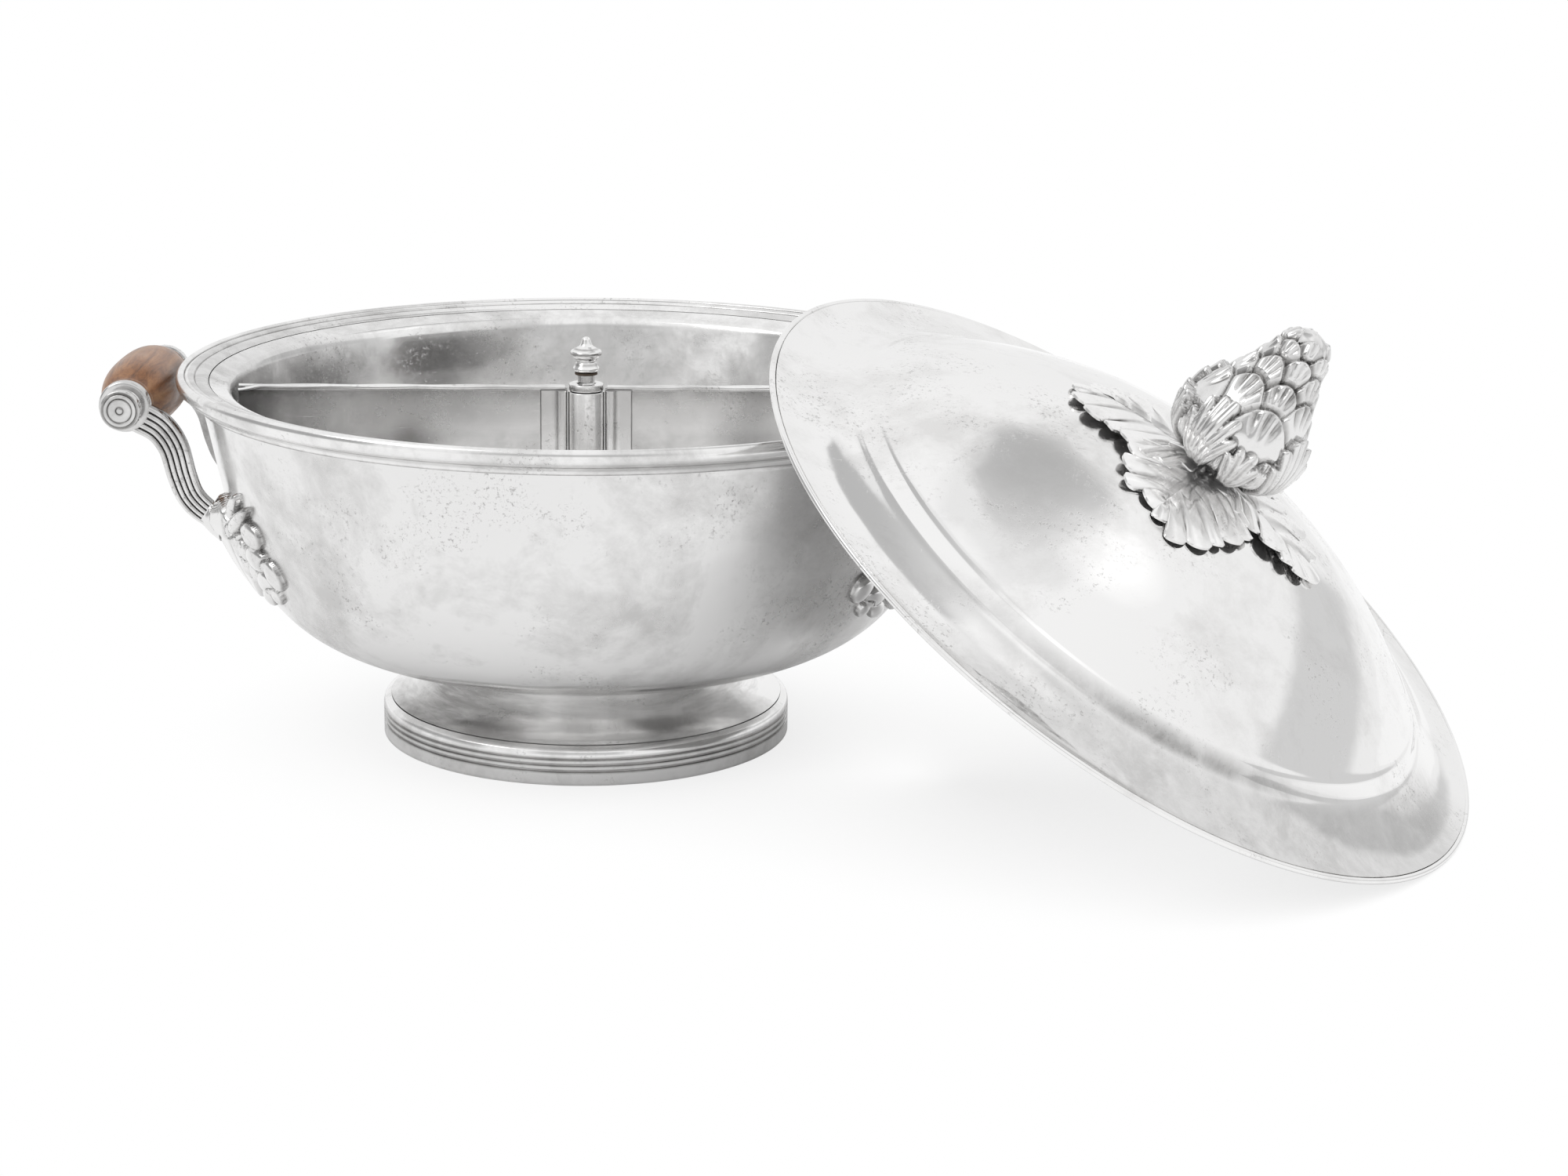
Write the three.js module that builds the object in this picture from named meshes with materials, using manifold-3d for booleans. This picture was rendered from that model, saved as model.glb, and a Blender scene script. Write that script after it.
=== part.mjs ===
// Divided hot-water warming dish in silver with a domed cover, in millimetres, +Z up.
// The cover has been taken off and leans against the right-hand grip, its low edge on the table.
import * as THREE from 'three';
import { mergeVertices } from 'three/addons/utils/BufferGeometryUtils.js';
import Module from 'manifold-3d';

const wasm = await Module();
wasm.setup();

// Fits and sheet metal
const solderGap = 0.3;
const cutOverrun = 2;
const bowlSheet = 1.5;
const linerSheet = 1.3;
const coverSheet = 1.5;
const roundSegments = 40;
const smallSegments = 20;
const boltSegments = 12;
const halfShare = 0.5;

// Rim of the dish
const rimRadius = 150;
const rimHeight = 138.9;
const rimWidth = 11.8;
const rimBandHeight = 9.7;
const rimSeatDepth = 4.6;
const lipWidth = 6.6;
const lipDrop = 3.2;
const openingDrop = 5.4;
const openingRadius = rimRadius - rimWidth - lipWidth;

// Outer bowl
const bowlSetback = 8.7;
const bowlTopRadius = rimRadius - bowlSetback;
const bowlBottomHeight = 33.4;
const bowlSteps = 7;

// Inner liner, which makes the food wells
const linerFloorHeight = 45;
const linerFloorRadius = 58;
const linerWallInset = 1.2;
const linerSteps = 6;

// Foot
const footRadius = 76.5;
const footBandHeight = 11;
const footRingHeight = 14.2;
const footNeckRadius = 57;
const footSheet = 1.6;

// Filler tube and its screw plug
const tubeRadius = 6.75;
const tubeWall = 1.1;
const tubeDrop = 9.7;
const tubeTopHeight = rimHeight - tubeDrop;
const tubeReach = 2;
const collarRadius = 6.4;
const collarHeight = 2.7;
const collarDepth = 5.4;
const shankRadius = 3.15;
const shankClearance = 0.25;
const shankExposed = 4.4;
const shankEngaged = 8;
const washerRadius = 4.2;
const washerThickness = 0.8;
const knobRadius = 5.65;
const knobHeight = 13;
const knobBoreDepth = 5;

// Divider across the dish, soldered a little out of line with the handles
const dividerTurn = THREE.MathUtils.degToRad(4.5);
const dividerThickness = 1.2;
const railWidth = 3;
const railHeight = 2;
const beadRadius = 2;
const strapWidth = 6;
const strapThickness = 0.9;

// Side handles
const gripRadius = 13.8;
const gripSetback = 0.7;
const gripDrop = 11.5;
const gripAxisRadius = rimRadius + gripSetback + gripRadius;
const gripAxisHeight = rimHeight - gripDrop;
const gripEndRadius = 8.8;
const gripHalfLength = 32;
const rodRadius = 2;
const rodClearance = 0.25;
const eyeRadius = 9.4;
const eyeThickness = 5;
const bossRadius = 7.4;
const bossLength = 7.4;
const bossBoreDepth = 4.5;
const armTopWidth = 11.7;
const armFootWidth = 8.6;
const armThickness = 4.9;
const reedCount = 5;
const reedDepthShare = 0.32;
const armSteps = 14;
const armFootDrop = 52.1;
const armFootInset = 8;
const armFootHeight = rimHeight - armFootDrop;

// Acanthus leaf under each handle arm, lying on the bowl
const leafDrop = 38.9;
const leafLength = 41.5;
const leafTopHeight = rimHeight - leafDrop;
const leafTipHeight = leafTopHeight - leafLength;
const leafSwing = THREE.MathUtils.degToRad(1.8);
const leafOuterHalfWidth = 38;
const leafInnerHalfWidth = 26;
const leafThickness = 2.6;
const leafEdgeShare = 0.45;
const leafRibHeight = 5;
const leafRibWidthShare = 0.42;
const leafLobes = 4;
const leafScallopShare = 0.14;
const leafCutShare = 8;
const leafRows = 18;
const leafColumns = 8;

// Cover, sized to sit on the rim with its bezel inside the opening
const coverSetback = 3.25;
const coverRadius = rimRadius - coverSetback;
const coverRimThickness = 1.83;
const coverRimWidth = 2;
const coverRimChamfer = 0.37;
const brimWidth = 31.15;
const creaseRadius = coverRadius - brimWidth;
const creaseHeight = 9.2;
const domeHeight = 47;
const crownRadius = 12;
const bezelFit = 1.4;
const bezelRadius = openingRadius - bezelFit;
const bezelThickness = 1.3;
const bezelDrop = 0.9;
const domeSteps = 7;
const brimSteps = 4;
const domePower = 2;
const brimPower = 1.6;
const domeSpacingPower = 0.8;
const brimSpacingPower = 1.4;

// Where the cover leans: low edge on the table, bezel against the right-hand grip
const leanAzimuth = THREE.MathUtils.degToRad(-23.5);
const leanTilt = THREE.MathUtils.degToRad(35);
const leanGap = 0.3;
const leanRounds = 40;
const leanSteps = 4;
const leanSegments = 72;

// Finial on the cover
const studRadius = 2.4;
const studClearance = 0.3;
const studTailLength = 7;
const studEngaged = 16;
const nutRadius = 6;
const nutThickness = 4;
const nutSides = 6;
const pressWasherRadius = 9;
const pressWasherThickness = 1.2;
const stemHeight = 4.4;
const stemFootRadius = 9;
const stemWaistRadius = 5;
const mountLeafReach = 55;
const mountLeafHalfWidth = 23;
const mountLeafThickness = 1.6;
const mountLeafStandoff = 3.4;
const mountLeafArchShare = 0.75;
const mountLeafDishShare = 0.35;
const mountLeafReachShare = 0.9;
const mountLeafRootShare = 0.6;
const mountLeafLobes = 4;
const mountLeafScallopShare = 0.14;
const mountLeafCount = 4;
const mountLeafRows = 12;
const mountLeafColumns = 4;
const coneHeight = 58.5;
const coneRadius = 24;
const coneScaleDepth = 1.5;
const coneScaleRows = 8;
const coneScaleFootShare = 0.25;
const coneTipFadeShare = 0.25;
const coneScalesPerRow = 9;
const coneStepsPerScale = 4;
const coneRows = 24;
const calyxHeight = 15;
const calyxThickness = 1.6;
const calyxLobes = 6;
const calyxNotchShare = 0.38;
const calyxStartShare = 0.04;
const calyxReachShare = 0.88;
const calyxTaperShare = 0.4;
const calyxStepsPerLobe = 6;
const calyxRows = 5;

// Materials
const silver = () => new THREE.MeshStandardMaterial({ color: 0xb9b9b6, roughness: 0.32, metalness: 1 });
const brightSilver = () => new THREE.MeshStandardMaterial({ color: 0xd4d4d2, roughness: 0.14, metalness: 1 });
const castSilver = () => new THREE.MeshStandardMaterial({ color: 0xa9a8a4, roughness: 0.28, metalness: 1 });
const brownWood = () => new THREE.MeshStandardMaterial({ color: 0x7a4a2a, roughness: 0.5, metalness: 0 });
const leather = () => new THREE.MeshStandardMaterial({ color: 0x3a2c22, roughness: 0.85, metalness: 0 });

const lerp = THREE.MathUtils.lerp;

// Value of an evenly spaced table of shares at a place from 0 to 1
function shareAt(shares, along) {
  const place = along * (shares.length - 1);
  const low = Math.min(Math.floor(place), shares.length - 2);
  return lerp(shares[low], shares[low + 1], place - low);
}

// A closed solid with shared corners, no empty triangles, and its faces turned outwards
function closedSolid(geometry) {
  const bare = geometry.clone();
  bare.deleteAttribute('normal');
  bare.deleteAttribute('uv');
  const merged = mergeVertices(bare);
  const source = merged.index.array;
  const triangles = [];
  for (let i = 0; i < source.length; i += 3) {
    const [a, b, c] = [source[i], source[i + 1], source[i + 2]];
    if (a !== b && b !== c && c !== a) triangles.push(a, b, c);
  }
  if (signedVolume(merged.attributes.position, triangles) < 0) triangles.reverse();
  merged.setIndex(triangles);
  merged.computeVertexNormals();
  return merged;
}

function signedVolume(position, triangles) {
  const [a, b, c] = [new THREE.Vector3(), new THREE.Vector3(), new THREE.Vector3()];
  let total = 0;
  for (let i = 0; i < triangles.length; i += 3) {
    a.fromBufferAttribute(position, triangles[i]);
    b.fromBufferAttribute(position, triangles[i + 1]);
    c.fromBufferAttribute(position, triangles[i + 2]);
    total += a.dot(b.cross(c));
  }
  return total;
}

function toManifold(geometry) {
  const vertProperties = Float32Array.from(geometry.attributes.position.array);
  const triVerts = Uint32Array.from(geometry.index.array);
  return new wasm.Manifold(new wasm.Mesh({ numProp: 3, vertProperties, triVerts }));
}

function fromManifold(solid) {
  const mesh = solid.getMesh();
  const geometry = new THREE.BufferGeometry();
  geometry.setAttribute('position', new THREE.BufferAttribute(Float32Array.from(mesh.vertProperties), 3));
  geometry.setIndex(Array.from(mesh.triVerts));
  return closedSolid(geometry);
}

const cutAway = (body, ...tools) => {
  const cut = tools.reduce((rest, tool) => rest.subtract(toManifold(tool)), toManifold(body));
  return fromManifold(cut);
};

const joined = (...bodies) => fromManifold(bodies.map(toManifold).reduce((sum, body) => sum.add(body)));

// A turned piece: a closed outline of [radius, height] pairs, spun about Z
function turned(outline, segments) {
  const points = outline.map(([radius, height]) => new THREE.Vector2(radius, height));
  points.push(points[0].clone());
  const geometry = new THREE.LatheGeometry(points, segments);
  geometry.rotateX(Math.PI / 2);
  return closedSolid(geometry);
}

// A solid between two matching grids of points, closed along its four edges
function gridSolid(rows, columns, pointAt) {
  const positions = [];
  const index = [];
  const at = (side, row, column) => (side * (rows + 1) + row) * (columns + 1) + column;
  for (const side of [0, 1]) {
    for (let row = 0; row <= rows; row += 1) {
      for (let column = 0; column <= columns; column += 1) {
        positions.push(...pointAt(row / rows, column / columns, side).toArray());
      }
    }
  }
  const quad = (a, b, c, d) => index.push(a, b, c, a, c, d);
  for (let row = 0; row < rows; row += 1) {
    for (let column = 0; column < columns; column += 1) {
      quad(at(1, row, column), at(1, row, column + 1), at(1, row + 1, column + 1), at(1, row + 1, column));
      quad(at(0, row, column), at(0, row + 1, column), at(0, row + 1, column + 1), at(0, row, column + 1));
    }
  }
  for (let row = 0; row < rows; row += 1) {
    quad(at(0, row, 0), at(1, row, 0), at(1, row + 1, 0), at(0, row + 1, 0));
    quad(at(0, row, columns), at(0, row + 1, columns), at(1, row + 1, columns), at(1, row, columns));
  }
  for (let column = 0; column < columns; column += 1) {
    quad(at(0, 0, column), at(0, 0, column + 1), at(1, 0, column + 1), at(1, 0, column));
    quad(at(0, rows, column), at(1, rows, column), at(1, rows, column + 1), at(0, rows, column + 1));
  }
  const geometry = new THREE.BufferGeometry();
  geometry.setAttribute('position', new THREE.Float32BufferAttribute(positions, 3));
  geometry.setIndex(index);
  return closedSolid(geometry);
}

// Rings of points joined one to the next, with flat ends
function lofted(rings) {
  const count = rings[0].length;
  const positions = rings.flatMap((ring) => ring.flatMap((point) => point.toArray()));
  const index = [];
  for (let ring = 0; ring < rings.length - 1; ring += 1) {
    for (let i = 0; i < count; i += 1) {
      const next = (i + 1) % count;
      const [low, high] = [ring * count, (ring + 1) * count];
      index.push(low + i, low + next, high + next, low + i, high + next, high + i);
    }
  }
  const last = (rings.length - 1) * count;
  for (let i = 1; i < count - 1; i += 1) {
    index.push(0, i + 1, i);
    index.push(last, last + i, last + i + 1);
  }
  const geometry = new THREE.BufferGeometry();
  geometry.setAttribute('position', new THREE.Float32BufferAttribute(positions, 3));
  geometry.setIndex(index);
  return closedSolid(geometry);
}

// A plate in the XZ plane, centred on Y, from [x, z] pairs
function plateAcross(outline, thickness) {
  const shape = new THREE.Shape(outline.map(([x, z]) => new THREE.Vector2(x, z)));
  const geometry = new THREE.ExtrudeGeometry(shape, { depth: thickness, bevelEnabled: false });
  geometry.rotateX(Math.PI / 2);
  geometry.translate(0, thickness * halfShare, 0);
  return closedSolid(geometry);
}

// A round bar along Y
function barAlongY(radius, start, end, segments) {
  const geometry = new THREE.CylinderGeometry(radius, radius, end - start, segments);
  geometry.translate(0, (start + end) * halfShare, 0);
  return closedSolid(geometry);
}

function named(name, geometry, material) {
  const mesh = new THREE.Mesh(geometry, material);
  mesh.name = name;
  return mesh;
}

// Bowl wall: one curve from under the rim down to the flat bottom. Its two control points are
// shares of the top radius and of the rise above the flat bottom.
const bowlCurveShares = [[0.913, 0.486], [0.927, 0]];
const bandFoot = rimHeight - rimBandHeight;

function bowlPoints(inset) {
  const [shoulder, hip] = bowlCurveShares;
  const shoulderHeight = lerp(bowlBottomHeight, bandFoot, shoulder[1]);
  const hipHeight = lerp(bowlBottomHeight, bandFoot, hip[1]);
  const curve = new THREE.CubicBezierCurve(
    new THREE.Vector2(bowlTopRadius - inset, bandFoot),
    new THREE.Vector2(bowlTopRadius * shoulder[0] - inset, shoulderHeight + inset * halfShare),
    new THREE.Vector2(bowlTopRadius * hip[0] - inset, hipHeight + inset),
    new THREE.Vector2(footNeckRadius, bowlBottomHeight + inset),
  );
  return curve.getPoints(bowlSteps).map((point) => [point.x, point.y]);
}

const bowlOutside = bowlPoints(0);

// Radius of the bowl's outside at a height, and how far it leans there
function bowlAt(height) {
  let step = 1;
  while (step < bowlOutside.length - 1 && bowlOutside[step][1] > height) step += 1;
  const [above, below] = [bowlOutside[step - 1], bowlOutside[step]];
  const slope = (above[0] - below[0]) / (above[1] - below[1]);
  return { radius: below[0] + (height - below[1]) * slope, slope };
}

function outerBowl() {
  const seatHeight = rimHeight - rimSeatDepth - solderGap;
  const outline = [
    [0, bowlBottomHeight],
    ...[...bowlOutside].reverse(),
    [bowlTopRadius, seatHeight],
    [bowlTopRadius - bowlSheet, seatHeight],
    ...bowlPoints(bowlSheet),
    [0, bowlBottomHeight + bowlSheet],
  ];
  return named('outer_bowl', turnedSolid(outline, roundSegments), silver());
}

// A turned piece whose outline starts and ends on the axis
function turnedSolid(outline, segments) {
  const points = outline.map(([radius, height]) => new THREE.Vector2(radius, height));
  const geometry = new THREE.LatheGeometry(points, segments);
  geometry.rotateX(Math.PI / 2);
  return closedSolid(geometry);
}

// Rim moulding: outer bead, two reeds and the flared band that hangs over the bowl's edge.
// Shares run inwards from the outer edge and downwards from the top.
const rimOutlineShares = [
  [0.55, 1], [0.47, 0.83], [0.16, 0.56], [0.05, 0.44], [0, 0.24], [0.07, 0.04], [0.2, 0.02],
  [0.27, 0.13], [0.36, 0.05], [0.53, 0.07], [0.6, 0.18], [0.72, 0.14], [0.95, 0.27],
];

function rimMoulding() {
  const inner = rimRadius - rimWidth;
  const sleeve = bowlTopRadius + solderGap;
  const seat = rimHeight - rimSeatDepth;
  const outline = rimOutlineShares.map(([across, down]) => [
    rimRadius - across * rimWidth,
    rimHeight - down * rimBandHeight,
  ]);
  outline.push([inner, seat], [sleeve, seat], [sleeve, bandFoot]);
  return named('rim_moulding', turned(outline, roundSegments), silver());
}

// Liner: a sloping lip inside the rim, then the wall and floor of the two food wells
const linerCurveShares = [[0.929, 0.503], [0.935, 0]];

function linerInside() {
  const [shoulder, hip] = linerCurveShares;
  const top = rimHeight - openingDrop - linerWallInset;
  const curve = new THREE.CubicBezierCurve(
    new THREE.Vector2(openingRadius - linerWallInset, top),
    new THREE.Vector2(openingRadius * shoulder[0], lerp(linerFloorHeight, top, shoulder[1])),
    new THREE.Vector2(openingRadius * hip[0], lerp(linerFloorHeight, top, hip[1])),
    new THREE.Vector2(linerFloorRadius, linerFloorHeight),
  );
  return curve.getPoints(linerSteps).map((point) => [point.x, point.y]);
}

function liner() {
  const lipEdge = rimRadius - rimWidth - solderGap;
  const lipTop = rimHeight - lipDrop;
  const hole = tubeRadius + solderGap;
  const inside = linerInside();
  const outside = inside.map(([radius, height]) => [radius + linerSheet, height - linerSheet * halfShare]);
  outside[outside.length - 1] = [linerFloorRadius + linerSheet, linerFloorHeight - linerSheet];
  const outline = [
    [lipEdge, lipTop],
    [openingRadius, rimHeight - openingDrop],
    ...inside,
    [hole, linerFloorHeight],
    [hole, linerFloorHeight - linerSheet],
    ...outside.reverse(),
    [lipEdge, lipTop - linerSheet],
  ];
  return named('liner', turned(outline, roundSegments), silver());
}

// Foot: a plain spool standing on a reeded base ring
const baseOutlineShares = [
  [0, 0], [0, 0.34], [0.012, 0.37], [0, 0.4], [0, 0.5], [0.012, 0.53], [0, 0.56], [0, 0.72],
  [0.01, 0.9], [0.034, 1],
];

function footBase() {
  const outline = baseOutlineShares.map(([across, up]) => [footRadius * (1 - across), footRingHeight * up]);
  const inner = footRadius - (footRingHeight - footBandHeight) - footSheet;
  outline.push([inner, footRingHeight], [inner, 0]);
  return named('foot_base_ring', turned(outline, roundSegments), silver());
}

const spoolShares = [[1, 0], [0.62, 0.16], [0.32, 0.36], [0.12, 0.62], [0.04, 0.84], [0.1, 1]];

function footSpool() {
  const low = footRingHeight + solderGap;
  const high = bowlBottomHeight - solderGap;
  const wide = footRadius - (footRingHeight - footBandHeight) + solderGap;
  const neck = footNeckRadius - footSheet;
  const outside = spoolShares.map(([out, up]) => [lerp(neck, wide, out), lerp(low, high, up)]);
  const inside = outside.map(([radius, height]) => [radius - footSheet, height]).reverse();
  return named('foot_spool', turned([...outside, ...inside], roundSegments), silver());
}

// Filler tube: carries hot water down past the liner's floor into the jacket
function fillerTube() {
  const bore = tubeRadius - tubeWall;
  const bottom = linerFloorHeight - linerSheet - tubeReach;
  const outline = [[bore, bottom], [tubeRadius, bottom], [tubeRadius, tubeTopHeight], [bore, tubeTopHeight]];
  return named('filler_tube', turned(outline, smallSegments), silver());
}

const collarTop = tubeTopHeight + solderGap + collarHeight;

function tubeCollar() {
  const spigot = tubeRadius - tubeWall - solderGap;
  const bore = shankRadius + shankClearance;
  const flange = tubeTopHeight + solderGap;
  const outline = [
    [bore, flange - collarDepth], [spigot, flange - collarDepth], [spigot, flange],
    [collarRadius, flange], [collarRadius, collarTop], [bore, collarTop],
  ];
  return named('tube_collar', turned(outline, smallSegments), silver());
}

// Screw plug: turned knob, threaded shank and leather washer, stood partly unscrewed
const knobFoot = collarTop + shankExposed;
const knobOutlineShares = [
  [0.8, 0], [0.93, 0.07], [0.88, 0.14], [0.62, 0.22], [0.6, 0.34], [0.72, 0.43], [0.98, 0.5], [1, 0.6],
  [0.8, 0.68], [0.4, 0.76], [0.28, 0.88], [0.18, 0.97],
];

function plugKnob() {
  const outline = knobOutlineShares.map(([out, up]) => [knobRadius * out, knobFoot + knobHeight * up]);
  const bore = shankRadius + solderGap;
  const blind = knobFoot + knobBoreDepth + solderGap;
  const solid = [
    [0, blind], [bore, blind], [bore, knobFoot], ...outline, [0, knobFoot + knobHeight],
  ];
  return named('plug_knob', turnedSolid(solid, smallSegments), silver());
}

function plugShank() {
  const bottom = collarTop - shankEngaged;
  const top = knobFoot + knobBoreDepth;
  const outline = [[0, bottom], [shankRadius, bottom], [shankRadius, top], [0, top]];
  return named('plug_shank', turnedSolid(outline, smallSegments), castSilver());
}

function plugWasher() {
  const bore = shankRadius + shankClearance;
  const top = knobFoot - solderGap;
  const low = top - washerThickness;
  const outline = [[bore, low], [washerRadius, low], [washerRadius, top], [bore, top]];
  return named('plug_washer', turned(outline, smallSegments), leather());
}

// Divider: two wings that follow the wells' section, each with a half-round rail along its top
const wingTop = tubeTopHeight + solderGap;
const facetShare = Math.cos(Math.PI / roundSegments);

function dividerWing(name) {
  const start = tubeRadius + solderGap;
  const [lip, below, ...lower] = linerInside();
  const topEdge = lerp(lip[0], below[0], (lip[1] - wingTop) / (lip[1] - below[1]));
  const side = [below, ...lower.slice(0, -1)].map(([radius, height]) => [
    radius * facetShare - solderGap,
    height + solderGap,
  ]);
  const floor = linerFloorHeight + solderGap;
  const outline = [[start, floor], [linerFloorRadius - solderGap, floor], ...side.reverse()];
  outline.push([topEdge * facetShare - solderGap, wingTop], [start, wingTop]);
  return named(name, plateAcross(outline, dividerThickness), silver());
}

function dividerRail(name) {
  const low = wingTop + solderGap;
  const start = tubeRadius + solderGap;
  const end = (openingRadius - linerWallInset) * facetShare - railHeight;
  const shape = new THREE.Shape();
  shape.moveTo(-railWidth * halfShare, 0);
  shape.lineTo(railWidth * halfShare, 0);
  shape.bezierCurveTo(
    railWidth * halfShare, railHeight, -railWidth * halfShare, railHeight, -railWidth * halfShare, 0,
  );
  const options = { depth: end - start, bevelEnabled: false, curveSegments: 6 };
  const geometry = new THREE.ExtrudeGeometry(shape, options);
  geometry.rotateX(Math.PI / 2);
  geometry.rotateZ(Math.PI / 2);
  geometry.translate(start, 0, low);
  return named(name, closedSolid(geometry), silver());
}

// Channel strip that grips a wing beside the tube: a half-round bead and a flat strap
function channelStrip(name, front) {
  const face = dividerThickness * halfShare + solderGap;
  const beadStart = tubeRadius + solderGap;
  const beadEnd = beadStart + beadRadius * 2;
  const strapEnd = beadEnd + strapWidth;
  const shape = new THREE.Shape();
  const joint = Math.asin(strapThickness / beadRadius);
  shape.moveTo(beadStart, face);
  shape.absarc(beadStart + beadRadius, face, beadRadius, Math.PI, joint, true);
  shape.lineTo(strapEnd, face + strapThickness);
  shape.lineTo(strapEnd, face);
  const bottom = linerFloorHeight + solderGap;
  const options = { depth: wingTop - bottom, bevelEnabled: false, curveSegments: 8 };
  const geometry = new THREE.ExtrudeGeometry(shape, options);
  if (front) geometry.scale(1, -1, 1);
  geometry.translate(0, 0, bottom);
  return named(name, closedSolid(geometry), silver());
}

function dividerSide(side) {
  const group = new THREE.Group();
  group.add(dividerWing(`${side}_divider_wing`), dividerRail(`${side}_divider_rail`));
  const flipped = side === 'left';
  group.add(channelStrip(`front_${side}_divider_channel`, !flipped));
  group.add(channelStrip(`rear_${side}_divider_channel`, flipped));
  group.rotation.z = dividerTurn + (flipped ? Math.PI : 0);
  return group;
}

// Grip: a turned wooden barrel with slim necks, bored for the tie rod
const gripShares = [[1, 0], [0.93, 0.11], [0.78, 0.04], [0.55, 0.52], [0.3, 0.87], [0, 1]];

function grip(name) {
  const half = gripShares.map(([along, swell]) => [
    lerp(gripEndRadius, gripRadius, swell),
    gripHalfLength * along,
  ]);
  const other = half.slice(0, -1).reverse().map(([radius, along]) => [radius, -along]);
  const bore = rodRadius + rodClearance;
  const outline = [[bore, gripHalfLength], ...half, ...other, [bore, -gripHalfLength]];
  const geometry = turned(outline, smallSegments);
  geometry.rotateX(Math.PI / 2);
  geometry.translate(gripAxisRadius, 0, gripAxisHeight);
  return named(name, geometry, brownWood());
}

const eyeStart = gripHalfLength + solderGap;
const bossStart = eyeStart + eyeThickness + solderGap;

function tieRod(name) {
  const reach = bossStart + bossBoreDepth - solderGap;
  const geometry = barAlongY(rodRadius, -reach, reach, boltSegments);
  geometry.translate(gripAxisRadius, 0, gripAxisHeight);
  return named(name, geometry, silver());
}

// Boss: the stepped and turned cap on the outside of each arm's eye, screwed on the tie rod
const bossShares = [[0.86, 0], [0.78, 0.3], [1, 0.55], [1, 0.88], [0.79, 0.93], [0.79, 1]];

function boss(name, outward) {
  const bore = rodRadius + rodClearance;
  const outline = bossShares.map(([out, along]) => [bossRadius * out, bossLength * along]);
  const solid = [[0, bossBoreDepth], [bore, bossBoreDepth], [bore, 0], ...outline, [0, bossLength]];
  const geometry = turnedSolid(solid, smallSegments);
  geometry.rotateX(-Math.PI / 2);
  geometry.translate(0, bossStart, 0);
  if (!outward) geometry.scale(1, -1, 1);
  geometry.translate(gripAxisRadius, 0, gripAxisHeight);
  return named(name, closedSolid(geometry), silver());
}

// Arm: a reeded S-scroll strap from the eye round the grip down to the bowl
const armPathShares = [
  [0.13, 0.1], [0.3, 0.2], [0.415, 0.37], [0.484, 0.63], [0.553, 0.81], [0.664, 0.935], [0.77, 0.985],
  [1, 1],
];

function armCurve() {
  const footRadiusPoint = bowlAt(armFootHeight).radius - armFootInset;
  const points = armPathShares.map(([inward, down]) => new THREE.Vector3(
    lerp(gripAxisRadius, footRadiusPoint, inward),
    0,
    lerp(gripAxisHeight, armFootHeight, down),
  ));
  return new THREE.CatmullRomCurve3(points);
}

// Outline of the strap across its run: reeds on the outer face, plain on the inner
function strapSection(width) {
  const section = [[-halfShare * width, 0], [halfShare * width, 0]];
  const reed = width / reedCount;
  const ridge = armThickness * reedDepthShare;
  for (let i = 0; i < reedCount; i += 1) {
    const right = halfShare * width - i * reed;
    section.push([right, armThickness - ridge], [right - reed * halfShare, armThickness]);
  }
  section.push([-halfShare * width, armThickness - ridge]);
  return section;
}

function armStrap() {
  const curve = armCurve();
  const rings = [];
  for (let step = 0; step <= armSteps; step += 1) {
    const along = step / armSteps;
    const centre = curve.getPointAt(along);
    const run = curve.getTangentAt(along);
    const across = new THREE.Vector3(-run.z, 0, run.x);
    const width = lerp(armTopWidth, armFootWidth, along);
    rings.push(strapSection(width).map(([side, out]) => centre.clone()
      .addScaledVector(across, side)
      .add(new THREE.Vector3(0, eyeStart + out, 0))));
  }
  return lofted(rings);
}

function handleArm(name, outward, leafSpace) {
  const eye = barAlongY(eyeRadius, eyeStart, eyeStart + eyeThickness, smallSegments);
  eye.translate(gripAxisRadius, 0, gripAxisHeight);
  const hole = rodRadius + rodClearance;
  const drill = barAlongY(hole, eyeStart - cutOverrun, bossStart + cutOverrun, boltSegments);
  drill.translate(gripAxisRadius, 0, gripAxisHeight);
  const geometry = cutAway(joined(eye, armStrap()), drill, bowlSpace(), leafSpace);
  if (!outward) geometry.scale(1, -1, 1);
  return named(name, closedSolid(geometry), silver());
}

// The bowl grown by the solder gap, for trimming what sits against it
function bowlSpace() {
  const wall = bowlOutside.map(([radius, height]) => [radius + solderGap, height]).reverse();
  return turnedSolid([[0, bowlBottomHeight], ...wall, [0, bandFoot]], roundSegments);
}

// Leaf under each arm: lobed edge, raised midrib, lying on the bowl
const armFootSide = (eyeStart + armThickness * halfShare) / bowlAt(armFootHeight).radius;
const leafAngle = Math.asin(armFootSide) + leafSwing;
const leafSpreadShares = [0.55, 0.95, 1.04, 1, 0.98, 1, 0.98, 0.74, 0.3];
const leafRibShares = [0.3, 0.9, 1.35, 1.35, 1, 0.9, 0.85, 0.55, 0];

function leafSpread(along) {
  const scallop = 1 - leafScallopShare * Math.abs(Math.cos(Math.PI * leafLobes * along));
  return shareAt(leafSpreadShares, along) * scallop;
}

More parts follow.
